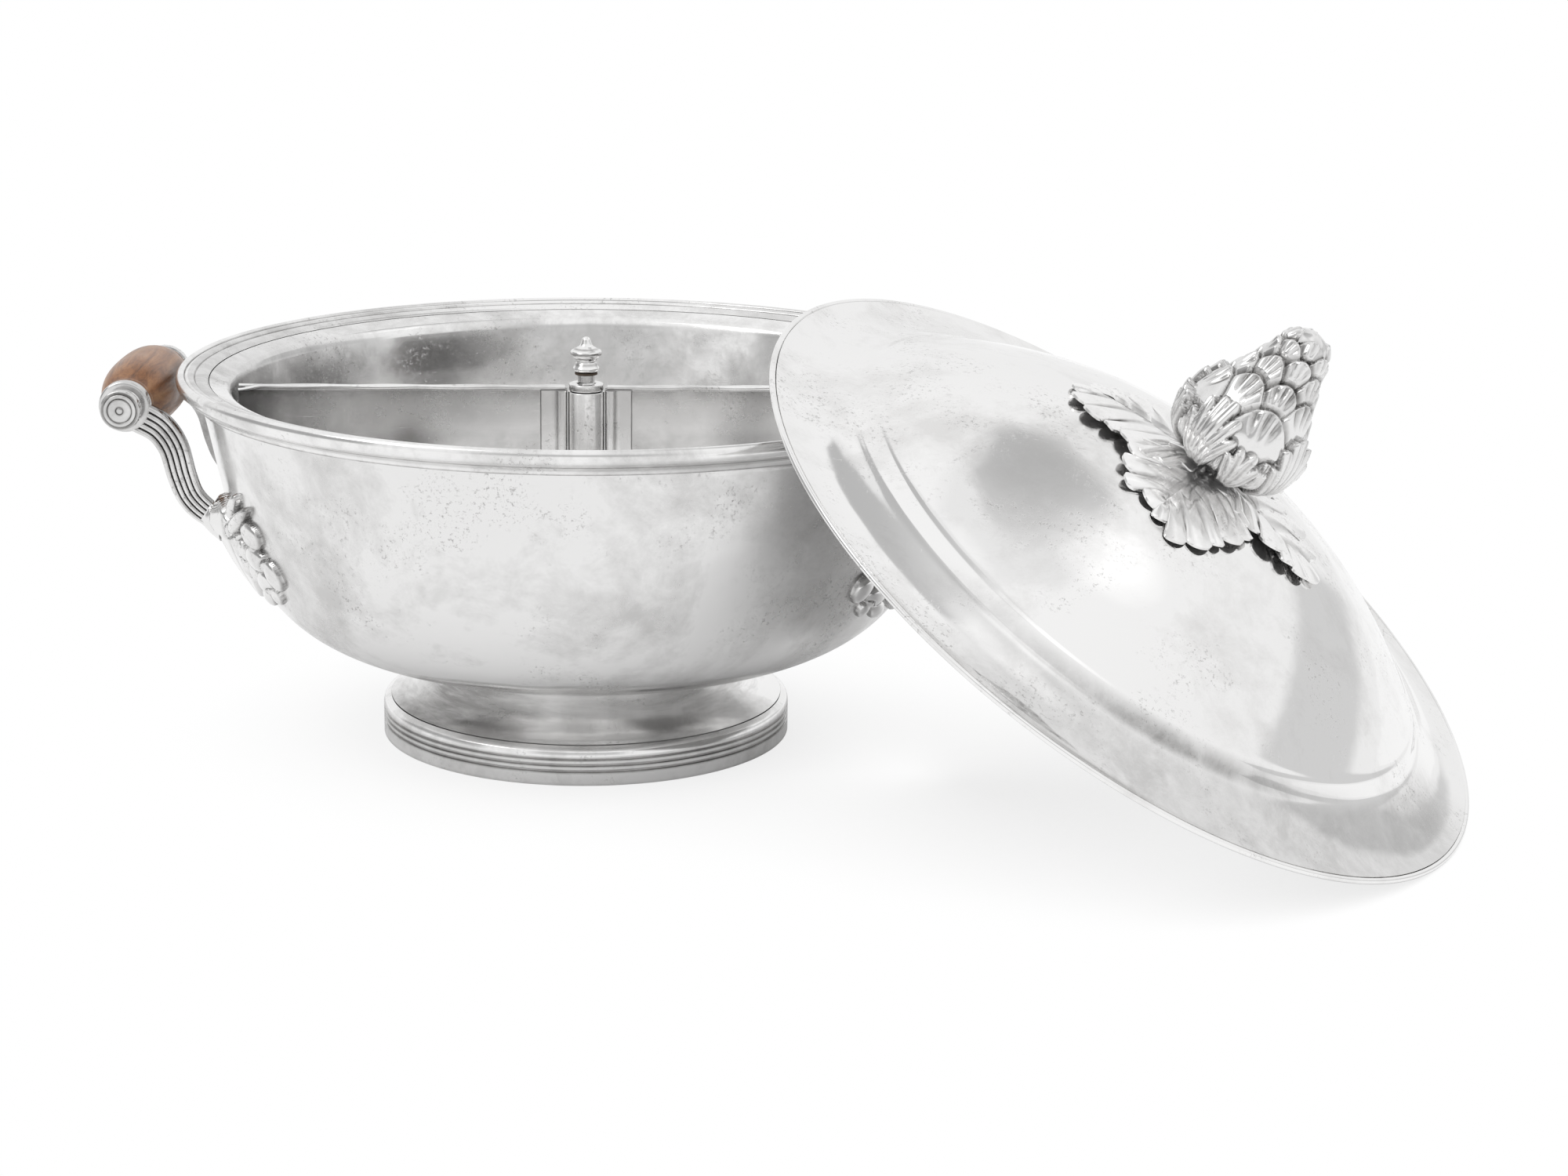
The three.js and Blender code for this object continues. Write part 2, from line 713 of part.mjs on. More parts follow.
function leafSolid(grow) {
  return gridSolid(leafRows, leafColumns, (along, across, side) => {
    const offset = across * 2 - 1;
    const halfWidth = offset > 0 ? leafOuterHalfWidth : leafInnerHalfWidth;
    const height = lerp(leafTopHeight, leafTipHeight, along) + grow * (1 - along * 2);
    const { radius, slope } = bowlAt(height);
    const lean = Math.hypot(1, slope);
    const flank = Math.max(0, 1 - Math.abs(offset) / leafRibWidthShare);
    const rib = flank * shareAt(leafRibShares, along) * leafRibHeight;
    const crown = leafThickness * (1 - leafEdgeShare * offset * offset) + rib;
    const thick = side === 0 ? solderGap - grow * leafCutShare : solderGap + crown + grow;
    const width = halfWidth * leafSpread(along) + grow;
    const angle = leafAngle + (offset * width) / radius;
    const reach = radius + thick / lean;
    return new THREE.Vector3(
      reach * Math.cos(angle),
      reach * Math.sin(angle),
      height - (slope * thick) / lean,
    );
  });
}

function leafMount(name, outward) {
  const geometry = leafSolid(0);
  if (!outward) geometry.scale(1, -1, 1);
  return named(name, closedSolid(geometry), castSilver());
}

function handleEnd(side, end, outward) {
  return [
    handleArm(`${side}_${end}_handle_arm`, outward, leafSolid(solderGap)),
    boss(`${side}_${end}_handle_boss`, outward),
    leafMount(`${side}_${end}_leaf_mount`, outward),
  ];
}

function handleSide(side) {
  const group = new THREE.Group();
  const flipped = side === 'left';
  group.add(grip(`${side}_grip`), tieRod(`${side}_tie_rod`));
  group.add(...handleEnd(side, 'rear', !flipped));
  group.add(...handleEnd(side, 'front', flipped));
  if (flipped) group.rotation.z = Math.PI;
  return group;
}

// Cover: height of its outer face above the edge plane at a radius
function coverTopAt(radius) {
  if (radius < creaseRadius) {
    const out = Math.max(0, radius - crownRadius) / (creaseRadius - crownRadius);
    return creaseHeight + (domeHeight - creaseHeight) * (1 - out ** domePower);
  }
  const shellEdge = coverRadius - coverRimWidth - solderGap;
  const share = Math.max(0, (shellEdge - radius) / (shellEdge - creaseRadius));
  return creaseHeight * share ** brimPower;
}

const domeRadius = (step) => lerp(crownRadius, creaseRadius, (step / domeSteps) ** domeSpacingPower);

function coverShell() {
  const bore = studRadius + studClearance;
  const edge = coverRadius - coverRimWidth - solderGap;
  const radii = [bore];
  for (let i = 0; i <= domeSteps; i += 1) radii.push(domeRadius(i));
  for (let i = 1; i <= brimSteps; i += 1) {
    radii.push(lerp(creaseRadius, edge, (i / brimSteps) ** brimSpacingPower));
  }
  const outside = radii.map((radius) => [radius, coverTopAt(radius)]);
  const inside = radii.map((radius) => [radius, coverTopAt(radius) - coverSheet]).reverse();
  return named('cover_shell', turned([...outside, ...inside], roundSegments), brightSilver());
}

function coverRim() {
  const inner = coverRadius - coverRimWidth;
  const chamfer = coverRimChamfer;
  const outline = [
    [inner, -coverRimThickness], [coverRadius - chamfer, -coverRimThickness],
    [coverRadius, -coverRimThickness + chamfer], [coverRadius, -chamfer], [coverRadius - chamfer, 0],
    [inner, 0],
  ];
  return named('cover_rim_wire', turned(outline, roundSegments), brightSilver());
}

function coverBezel() {
  const inner = bezelRadius - bezelThickness;
  const top = coverTopAt(bezelRadius) - coverSheet - solderGap;
  const low = top - bezelDrop;
  const outline = [[inner, low], [bezelRadius, low], [bezelRadius, top], [inner, top]];
  return named('cover_bezel', turned(outline, roundSegments), silver());
}

// Finial, built above the edge plane on the cover's own axis
const mountFoot = domeHeight + solderGap;
const mountTop = mountFoot + stemHeight;
const coneFoot = mountTop + solderGap;

const mountWidthShares = [0.26, 0.62, 0.94, 0.97, 0.82, 0.72, 0.56, 0.4, 0.12];

// One leaf of the mount: starts on the stem, arches out over the dome and droops to its tip
function mountLeaf(turn) {
  const start = stemWaistRadius * mountLeafRootShare;
  const geometry = gridSolid(mountLeafRows, mountLeafColumns, (along, across, side) => {
    const offset = across * 2 - 1;
    const scallop = 1 - mountLeafScallopShare * Math.abs(Math.sin(Math.PI * mountLeafLobes * along));
    const sideways = offset * mountLeafHalfWidth * shareAt(mountWidthShares, along) * scallop;
    const forward = lerp(start, mountLeafReach, along);
    const radius = Math.hypot(forward, sideways);
    const arch = Math.sin(Math.PI * along * mountLeafReachShare) * mountLeafArchShare;
    const dish = offset * offset * mountLeafDishShare;
    const under = coverTopAt(radius) + solderGap * 2 + (arch + dish) * mountLeafStandoff;
    return new THREE.Vector3(forward, sideways, side === 0 ? under : under + mountLeafThickness);
  });
  geometry.rotateZ(turn);
  return geometry;
}

const stemShares = [[1, 0], [0.55, 0.45], [0, 0.75], [0, 1]];

function finialLeafMount() {
  const side = stemShares.map(([out, up]) => [
    lerp(stemWaistRadius, stemFootRadius, out),
    mountFoot + stemHeight * up,
  ]);
  const stem = turnedSolid([[0, mountFoot], ...side, [0, mountTop]], smallSegments);
  const leaves = [];
  for (let i = 0; i < mountLeafCount; i += 1) leaves.push(mountLeaf((i * 2 * Math.PI) / mountLeafCount));
  const bore = studRadius + studClearance;
  const drill = turnedSolid([
    [0, mountFoot - cutOverrun * 2], [bore, mountFoot - cutOverrun * 2],
    [bore, mountTop + cutOverrun * 2], [0, mountTop + cutOverrun * 2],
  ], boltSegments);
  const lifted = cutAway(joined(stem, ...leaves), drill, domeSpace());
  return named('finial_leaf_mount', lifted, castSilver());
}

// Everything under the dome's outer face and the solder gap above it
function domeSpace() {
  const wall = [];
  for (let i = 0; i <= domeSteps; i += 1) {
    wall.push([domeRadius(i), coverTopAt(domeRadius(i)) + solderGap]);
  }
  wall.unshift([0, domeHeight + solderGap]);
  return turnedSolid([[0, creaseHeight], [creaseRadius, creaseHeight], ...wall.reverse()], roundSegments);
}

// Pinecone: plump foot narrowing to a blunt tip, with staggered rows of scales
const coneShares = [
  [0.2, 0], [0.62, 0.03], [0.9, 0.1], [1, 0.22], [0.98, 0.34], [0.86, 0.46], [0.71, 0.6],
  [0.56, 0.74], [0.44, 0.86], [0.3, 0.95], [0.06, 1],
];

function coneCurve() {
  const points = coneShares.map(([out, up]) => new THREE.Vector2(coneRadius * out, coneHeight * up));
  return new THREE.SplineCurve(points);
}

function scaleHeight(along, around) {
  const start = calyxHeight / coneHeight;
  const rise = (along - start) / (1 - start);
  if (rise <= 0 || rise >= 1) return 0;
  const row = rise * coneScaleRows;
  const shift = Math.floor(row) % 2 === 0 ? 0 : halfShare;
  const cell = (around * coneScalesPerRow + shift) % 1;
  const bow = 1 - (cell * 2 - 1) ** 2;
  const step = row - Math.floor(row);
  const fade = Math.min(1, (1 - rise) / coneTipFadeShare);
  return coneScaleDepth * bow * lerp(coneScaleFootShare, 1, step) * fade;
}

function finialPinecone() {
  const curve = coneCurve();
  const columns = coneScalesPerRow * coneStepsPerScale;
  const bore = studRadius + studClearance;
  const skin = gridSolid(coneRows, columns, (along, across, side) => {
    const point = curve.getPoint(along);
    const angle = across * 2 * Math.PI;
    const radius = side === 0 ? bore * halfShare : point.x + scaleHeight(along, across);
    return new THREE.Vector3(radius * Math.cos(angle), radius * Math.sin(angle), coneFoot + point.y);
  });
  const core = turnedSolid([
    [0, coneFoot], [bore, coneFoot], [bore, coneFoot + coneHeight], [0, coneFoot + coneHeight],
  ], boltSegments);
  const drill = turnedSolid([
    [0, coneFoot - cutOverrun], [bore, coneFoot - cutOverrun],
    [bore, coneFoot + studEngaged], [0, coneFoot + studEngaged],
  ], boltSegments);
  return named('finial_pinecone', cutAway(joined(skin, core), drill), castSilver());
}

// Calyx: a cup of pointed lobes round the foot of the pinecone
function finialCalyx() {
  const curve = coneCurve();
  const columns = calyxLobes * calyxStepsPerLobe;
  const geometry = gridSolid(calyxRows, columns, (along, across, side) => {
    const lobe = 1 - calyxNotchShare * (1 - Math.abs(Math.sin(Math.PI * calyxLobes * across)));
    const reach = (calyxHeight / coneHeight) * calyxReachShare;
    const point = curve.getPoint(calyxStartShare + along * lobe * reach);
    const angle = across * 2 * Math.PI;
    const skin = side === 0 ? 0 : calyxThickness * (1 - calyxTaperShare * along);
    const radius = point.x + solderGap * 2 + skin;
    return new THREE.Vector3(radius * Math.cos(angle), radius * Math.sin(angle), coneFoot + point.y);
  });
  return named('finial_calyx', geometry, castSilver());
}

// Stud through the dome, held by a washer and nut on the inside
function finialFixings() {
  const inside = domeHeight - coverSheet;
  const washerTop = inside - solderGap;
  const nutTop = washerTop - pressWasherThickness - solderGap;
  const bore = studRadius + studClearance;
  const stud = turnedSolid([
    [0, inside - studTailLength], [studRadius, inside - studTailLength],
    [studRadius, coneFoot + studEngaged - solderGap], [0, coneFoot + studEngaged - solderGap],
  ], boltSegments);
  const washerLow = washerTop - pressWasherThickness;
  const washer = turned([
    [bore, washerLow], [pressWasherRadius, washerLow], [pressWasherRadius, washerTop], [bore, washerTop],
  ], smallSegments);
  const nutLow = nutTop - nutThickness;
  const nutBore = bore / Math.cos(Math.PI / nutSides);
  const nutOutline = [[nutBore, nutLow], [nutRadius, nutLow], [nutRadius, nutTop], [nutBore, nutTop]];
  const nut = turned(nutOutline, nutSides);
  return [
    named('finial_stud', stud, silver()),
    named('finial_washer', washer, silver()),
    named('finial_nut', nut, silver()),
  ];
}

// Points on the right-hand grip with its rings and bosses, and all along the rim
function leanObstacles() {
  const bars = gripShares.map(([along, swell]) => [
    lerp(gripEndRadius, gripRadius, swell),
    gripHalfLength * along,
  ]);
  bars.unshift([eyeRadius, eyeStart], [bossRadius, bossStart + bossLength]);
  const points = [];
  for (let i = 0; i < leanSegments; i += 1) {
    const angle = (i * 2 * Math.PI) / leanSegments;
    const [out, up] = [Math.cos(angle), Math.sin(angle)];
    for (let bar = 0; bar < bars.length - 1; bar += 1) {
      for (let step = 0; step <= leanSteps; step += 1) {
        const radius = lerp(bars[bar][0], bars[bar + 1][0], step / leanSteps);
        const along = lerp(bars[bar][1], bars[bar + 1][1], step / leanSteps);
        const [x, z] = [gripAxisRadius + radius * out, gripAxisHeight + radius * up];
        points.push(new THREE.Vector3(x, along, z), new THREE.Vector3(x, -along, z));
      }
    }
    for (const [across, down] of rimOutlineShares) {
      const radius = rimRadius - across * rimWidth;
      points.push(new THREE.Vector3(radius * out, radius * up, rimHeight - down * rimBandHeight));
    }
  }
  return points;
}

// Height of the cover's underside above its edge plane at a radius, rim wire and bezel included
function coverUnderAt(radius) {
  if (radius > coverRadius - coverRimWidth - solderGap) return -coverRimThickness;
  const sheet = coverTopAt(radius) - coverSheet;
  if (Math.abs(radius - bezelRadius) > bezelThickness) return sheet;
  return coverTopAt(bezelRadius) - coverSheet - solderGap - bezelDrop;
}

// The cover is built level on its own axis, then tipped, carried out and turned to where it leans
function coverPlace(distance) {
  const reach = coverRadius - coverRimChamfer;
  const height = reach * Math.sin(leanTilt) + coverRimThickness * Math.cos(leanTilt);
  const turn = new THREE.Matrix4().makeRotationZ(leanAzimuth);
  const carry = new THREE.Matrix4().makeTranslation(distance, 0, height);
  return turn.multiply(carry).multiply(new THREE.Matrix4().makeRotationY(leanTilt));
}

// How far out the cover's middle stands: as near as it goes before its underside meets the handle
function restDistance() {
  const obstacles = leanObstacles();
  const clears = (distance) => {
    const inward = coverPlace(distance).invert();
    return obstacles.every((point) => {
      const seen = point.clone().applyMatrix4(inward);
      const radius = Math.hypot(seen.x, seen.y);
      return radius > coverRadius + leanGap || seen.z < coverUnderAt(radius) - leanGap;
    });
  };
  let [near, far] = [rimRadius, rimRadius + coverRadius * 2];
  for (let i = 0; i < leanRounds; i += 1) {
    const middle = (near + far) * halfShare;
    if (clears(middle)) far = middle;
    else near = middle;
  }
  return far;
}

function leaningCover() {
  const group = new THREE.Group();
  group.add(coverShell(), coverRim(), coverBezel());
  group.add(finialLeafMount(), finialCalyx(), finialPinecone(), ...finialFixings());
  group.applyMatrix4(coverPlace(restDistance()));
  return group;
}

function dish() {
  const group = new THREE.Group();
  group.add(outerBowl(), rimMoulding(), liner(), footBase(), footSpool());
  group.add(fillerTube(), tubeCollar(), plugKnob(), plugShank(), plugWasher());
  group.add(dividerSide('left'), dividerSide('right'));
  group.add(handleSide('left'), handleSide('right'));
  return group;
}

// The origin is under the middle of the whole model, on the table
function centred(model) {
  model.updateMatrixWorld(true);
  const box = new THREE.Box3().setFromObject(model, true);
  const middle = box.getCenter(new THREE.Vector3());
  model.position.set(-middle.x, -middle.y, -box.min.z);
  model.updateMatrixWorld(true);
  return model;
}

const assembly = new THREE.Group();
assembly.add(dish(), leaningCover());
const model = new THREE.Group();
model.add(centred(assembly));

export default model;
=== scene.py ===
import math

import bmesh
import bpy
from mathutils import Matrix, Vector


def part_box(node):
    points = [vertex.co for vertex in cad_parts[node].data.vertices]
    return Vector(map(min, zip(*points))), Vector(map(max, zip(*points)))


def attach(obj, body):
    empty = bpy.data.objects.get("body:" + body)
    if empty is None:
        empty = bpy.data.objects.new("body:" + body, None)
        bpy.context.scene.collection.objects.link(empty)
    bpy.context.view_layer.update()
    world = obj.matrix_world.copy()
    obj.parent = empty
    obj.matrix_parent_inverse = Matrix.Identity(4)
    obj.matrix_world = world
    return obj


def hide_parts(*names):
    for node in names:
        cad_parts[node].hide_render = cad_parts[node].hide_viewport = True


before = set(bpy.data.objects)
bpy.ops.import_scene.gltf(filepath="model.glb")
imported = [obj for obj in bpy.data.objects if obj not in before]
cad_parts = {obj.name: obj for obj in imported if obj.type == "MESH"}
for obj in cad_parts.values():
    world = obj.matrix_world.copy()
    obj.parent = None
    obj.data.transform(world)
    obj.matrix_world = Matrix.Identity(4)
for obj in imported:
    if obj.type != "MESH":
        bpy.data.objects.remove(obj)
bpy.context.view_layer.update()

# Outlines are in millimetres and are turned into metres when a mesh is made
MM = 0.001
TURN = 2 * math.pi
ON_AXIS = 1e-6
MERGE_DISTANCE = 1e-7

# The dish stands upright on its own axis, found from its base ring
foot_low, foot_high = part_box("foot_base_ring")
DISH_AXIS = (foot_low + foot_high) / 2
DISH = Matrix.Translation((DISH_AXIS.x, DISH_AXIS.y, 0))

# The cover leans on the right grip with its low edge on the table
COVER_RADIUS = 146.75
COVER_EDGE = 1.83
COVER_CHAMFER = 0.37
LEAN_DISTANCE = 214.65
LEAN_AZIMUTH = math.radians(-23.5)
LEAN_TILT = math.radians(35)
LEAN_HEIGHT = (COVER_RADIUS - COVER_CHAMFER) * math.sin(LEAN_TILT) + COVER_EDGE * math.cos(LEAN_TILT)
COVER = (
    DISH
    @ Matrix.Rotation(LEAN_AZIMUTH, 4, "Z")
    @ Matrix.Translation((LEAN_DISTANCE * MM, 0, LEAN_HEIGHT * MM))
    @ Matrix.Rotation(LEAN_TILT, 4, "Y")
)


def size_of(node):
    """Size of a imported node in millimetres."""
    low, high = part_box(node)
    return (high - low) / MM


# Sizes of the dish
RIM_RADIUS = size_of("rim_moulding").x / 2
RIM_TOP = 138.9
RIM_WIDTH = 11.8
RIM_BAND = 9.7
RIM_SEAT = 4.6
BOWL_TOP_RADIUS = size_of("outer_bowl").x / 2
BOWL_BOTTOM = 33.4
BOWL_SHEET = 1.5
FOOT_NECK = 57
FOOT_SHEET = 1.6
FOOT_RADIUS = size_of("foot_base_ring").x / 2
FOOT_RING_TOP = 14.2
FOOT_BAND = 11
OPENING_RADIUS = 131.6
OPENING_DROP = 5.4
LINER_SHEET = 1.3
LINER_FLOOR = 45
LINER_FLOOR_RADIUS = 58
LINER_INSET = 1.2
TUBE_RADIUS = size_of("filler_tube").x / 2
TUBE_TOP = 129.2
TUBE_WALL = 1.1
GAP = 0.3

DISH_SEGMENTS = 256
SMALL_SEGMENTS = 64


# Curves
def lerp(a, b, t):
    return a + (b - a) * t


def smoothstep(low, high, x):
    """0 at the low mark, 1 at the high one, easing between them; the marks may come in either order."""
    t = min(1, max(0, (x - low) / (high - low)))
    return t * t * (3 - 2 * t)


def bell(x, wide):
    """1 at 0, falling away on both sides."""
    return math.exp(-(x / wide) ** 2)


def dome(x):
    """Height of a half round, 1 at its middle and 0 at 1."""
    return math.sqrt(max(0, 1 - x * x))


def spline_at(p, q, r, s, t):
    """Place between the middle two of four values on a smooth curve through them."""
    square = (2 * p - 5 * q + 4 * r - s) * t * t
    cube = (3 * q - p - 3 * r + s) * t**3
    return 0.5 * (2 * q + (r - p) * t + square + cube)


def spline(points, steps=6):
    """Points of a smooth curve that passes through the given ones."""
    ends = [points[0], *points, points[-1]]
    out = []
    for four in zip(ends, ends[1:], ends[2:], ends[3:]):
        for i in range(steps):
            out.append(tuple(spline_at(*values, i / steps) for values in zip(*four)))
    out.append(tuple(points[-1]))
    return out


def through(stretches, steps=6):
    """Points of smooth curves through several stretches of points, in turn."""
    return [point for stretch in stretches for point in spline(stretch, steps)]


def bezier(points, steps):
    """Points of a cubic curve with the given start, handles and end."""
    out = []
    for i in range(steps + 1):
        t = i / steps
        k = 1 - t
        weights = (k**3, 3 * k * k * t, 3 * k * t * t, t**3)
        out.append(tuple(sum(w * p[axis] for w, p in zip(weights, points)) for axis in (0, 1)))
    return out


def along(table, t):
    """Value of an evenly spaced table at a share t of its length."""
    place = min(1, max(0, t)) * (len(table) - 1)
    low = min(int(place), len(table) - 2)
    return lerp(table[low], table[low + 1], place - low)


def table_at(pairs, x):
    """Value at x of a table of (x, value) pairs in rising order."""
    if x <= pairs[0][0]:
        return pairs[0][1]
    for (a, low), (b, high) in zip(pairs, pairs[1:]):
        if x <= b:
            return lerp(low, high, (x - a) / (b - a))
    return pairs[-1][1]


def lengths_along(points):
    """Length of a line of points up to each of them."""
    lengths = [0]
    for a, b in zip(points, points[1:]):
        lengths.append(lengths[-1] + math.dist(a, b))
    return lengths


def across(points, i):
    """Way square to a line of points at one of them, to its right."""
    before, after = points[max(0, i - 1)], points[min(len(points) - 1, i + 1)]
    run = math.dist(before, after)
    return (after[1] - before[1]) / run, -(after[0] - before[0]) / run


def rounded(outline, radius, steps=3, most=0.45):
    """A closed outline with its corners eased, by at most a share of each edge, save those on the axis."""
    out = []
    for before, corner, after in zip(outline[-1:] + outline[:-1], outline, outline[1:] + outline[:1]):
        if corner[0] < ON_AXIS:
            out.append(corner)
            continue
        back = min(most, radius / math.dist(before, corner))
        on = min(most, radius / math.dist(corner, after))
        start = [lerp(corner[k], before[k], back) for k in (0, 1)]
        end = [lerp(corner[k], after[k], on) for k in (0, 1)]
        for i in range(steps + 1):
            t = i / steps
            weights = (1 - t) ** 2, 2 * t * (1 - t), t * t
            out.append(tuple(sum(w * p[k] for w, p in zip(weights, (start, corner, end))) for k in (0, 1)))
    return out


# Meshes
def new_piece(name, shape, nodes, body, slot, material, matrix, sharp=35, recess=None):
    """An object made from millimetre points in the matrix's own frame, riding on a body in its nodes' place.

    The leaning cover's matrix goes into the mesh itself, so that each piece's box stays square to the room.
    """
    vertices, faces = shape
    mesh = bpy.data.meshes.new(name)
    mesh.from_pydata([tuple(c * MM for c in v) for v in vertices], [], faces)
    if recess:
        mesh.attributes.new("recess", "FLOAT", "POINT").data.foreach_set("value", recess)
    mesh.validate()
    finish_mesh(mesh, sharp)
    piece = bpy.data.objects.new(name, mesh)
    bpy.context.scene.collection.objects.link(piece)
    if matrix == COVER:
        mesh.transform(matrix)
    else:
        piece.matrix_world = matrix
    mesh.materials.append(material)
    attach(piece, body)
    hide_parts(*nodes)


def dish_piece(name, shape, node, material, matrix=DISH, slot="silver", **more):
    new_piece(name, shape, [node], "dish", slot, material, matrix, **more)


def cover_piece(name, shape, node, material, slot="cast_silver", **more):
    new_piece(name, shape, [node], "cover", slot, material, COVER, **more)


def finish_mesh(mesh, sharp):
    """Joins a mesh's doubled points, turns its faces out and smooths it up to a sharp angle."""
    shape = bmesh.new()
    shape.from_mesh(mesh)
    bmesh.ops.remove_doubles(shape, verts=shape.verts, dist=MERGE_DISTANCE)
    bmesh.ops.recalc_face_normals(shape, faces=shape.faces)
    shape.to_mesh(mesh)
    shape.free()
    mesh.polygons.foreach_set("use_smooth", [True] * len(mesh.polygons))
    mesh.set_sharp_from_angle(angle=math.radians(sharp))


def joined(rings):
    """Faces between rings of vertex numbers, each with the next. A ring of one number is a pole."""
    faces = []
    for low, high in zip(rings, rings[1:]):
        count = max(len(low), len(high))
        if count == 1:
            continue
        for i in range(count):
            j = (i + 1) % count
            if len(low) == 1:
                faces.append((low[0], high[j], high[i]))
            elif len(high) == 1:
                faces.append((low[i], low[j], high[0]))
            else:
                faces.append((low[i], low[j], high[j], high[i]))
    return faces


def turned(outline, segments=DISH_SEGMENTS, spin=lambda angle, radius, height: (radius, height)):
    """A closed outline of (radius, height) spun about Z. Points on the axis become poles."""
    vertices = []
    rings = []
    for radius, height in outline:
        if radius < ON_AXIS:
            rings.append([len(vertices)])
            vertices.append((0, 0, height))
            continue
        ring = []
        for i in range(segments):
            angle = TURN * i / segments
            r, z = spin(angle, radius, height)
            ring.append(len(vertices))
            vertices.append((r * math.cos(angle), r * math.sin(angle), z))
        rings.append(ring)
    return vertices, joined([*rings, rings[0]])


def grid_shell(rows, columns, point_at):
    """A closed skin between an outer and an inner grid of points, over shares 0 to 1."""
    vertices = []
    for side in (0, 1):
        for row in range(rows + 1):
            for column in range(columns + 1):
                vertices.append(point_at(row / rows, column / columns, side))

    def at(side, row, column):
        return (side * (rows + 1) + row) * (columns + 1) + column

    faces = []
    for row in range(rows):
        for column in range(columns):
            for side in (0, 1):
                quad = [at(side, row, column), at(side, row, column + 1)]
                quad += [at(side, row + 1, column + 1), at(side, row + 1, column)]
                faces.append(tuple(quad if side else quad[::-1]))
    edges = [((row, column), (row + 1, column)) for row in range(rows) for column in (0, columns)]
    edges += [((row, column), (row, column + 1)) for column in range(columns) for row in (0, rows)]
    for a, b in edges:
        faces.append((at(0, *a), at(1, *a), at(1, *b), at(0, *b)))
    return vertices, faces


def relief(rows, columns, lift_at, place, under, wrap=False):
    """A closed patch over a surface: a skin at each point's lift, kept where there is any, and its underside.

    Gives its shape and how dark each vertex is.
    """
    wide = columns if wrap else columns + 1
    skin = [[lift_at(row / rows, column / columns) for column in range(wide)] for row in range(rows + 1)]
    vertices = []
    darks = []
    number = {}
    faces = []
    edges = {}

    def vertex(row, column, side):
        key = (row, column, side)
        if key not in number:
            lift, dark = skin[row][column]
            number[key] = len(vertices)
            vertices.append(place(row / rows, column / columns, lift if side else under))
            darks.append(dark)
        return number[key]

    for row in range(rows):
        for column in range(columns):
            beside = (column + 1) % wide
            corners = [(row, column), (row, beside), (row + 1, beside), (row + 1, column)]
            if max(skin[r][c][0] for r, c in corners) <= under:
                continue
            faces.append(tuple(vertex(r, c, 1) for r, c in corners))
            faces.append(tuple(vertex(r, c, 0) for r, c in corners[::-1]))
            for a, b in zip(corners, corners[1:] + corners[:1]):
                if (b, a) in edges:
                    del edges[(b, a)]
                else:
                    edges[(a, b)] = True
    for a, b in edges:
        faces.append((vertex(*a, 1), vertex(*a, 0), vertex(*b, 0), vertex(*b, 1)))
    return (vertices, faces), darks


def swept(sections):
    """Closed sections of the same count, joined in turn and capped. A section is a list of points."""
    count = len(sections[0])
    vertices = [point for section in sections for point in section]
    rings = [tuple(range(start, start + count)) for start in range(0, len(vertices), count)]
    return vertices, [*joined(rings), rings[0][::-1], rings[-1]]


def extruded(outline, low, high):
    """A flat outline in the XY plane, raised from one height to another."""
    return swept([[(x, y, z) for x, y in outline] for z in (low, high)])


def merged(*shapes):
    vertices = []
    faces = []
    for some_vertices, some_faces in shapes:
        start = len(vertices)
        vertices += some_vertices
        faces += [tuple(start + i for i in face) for face in some_faces]
    return vertices, faces


def grooves(vertices, spots, reach, depth):
    """Darkness of turned vertices near the (radius, height) spots of grooves: dirt and painted shade."""
    out = []
    for x, y, z in vertices:
        near = min(math.hypot(math.hypot(x, y) - r, z - h) for r, h in spots)
        out.append(depth * bell(near, reach))
    return out


def tarnished(x, y, patch):
    """Darkness of a patch that fades with the azimuth from its middle."""
    middle, wide, depth = patch
    away = (math.degrees(math.atan2(y, x)) - middle + 180) % 360 - 180
    return depth * bell(away, wide)


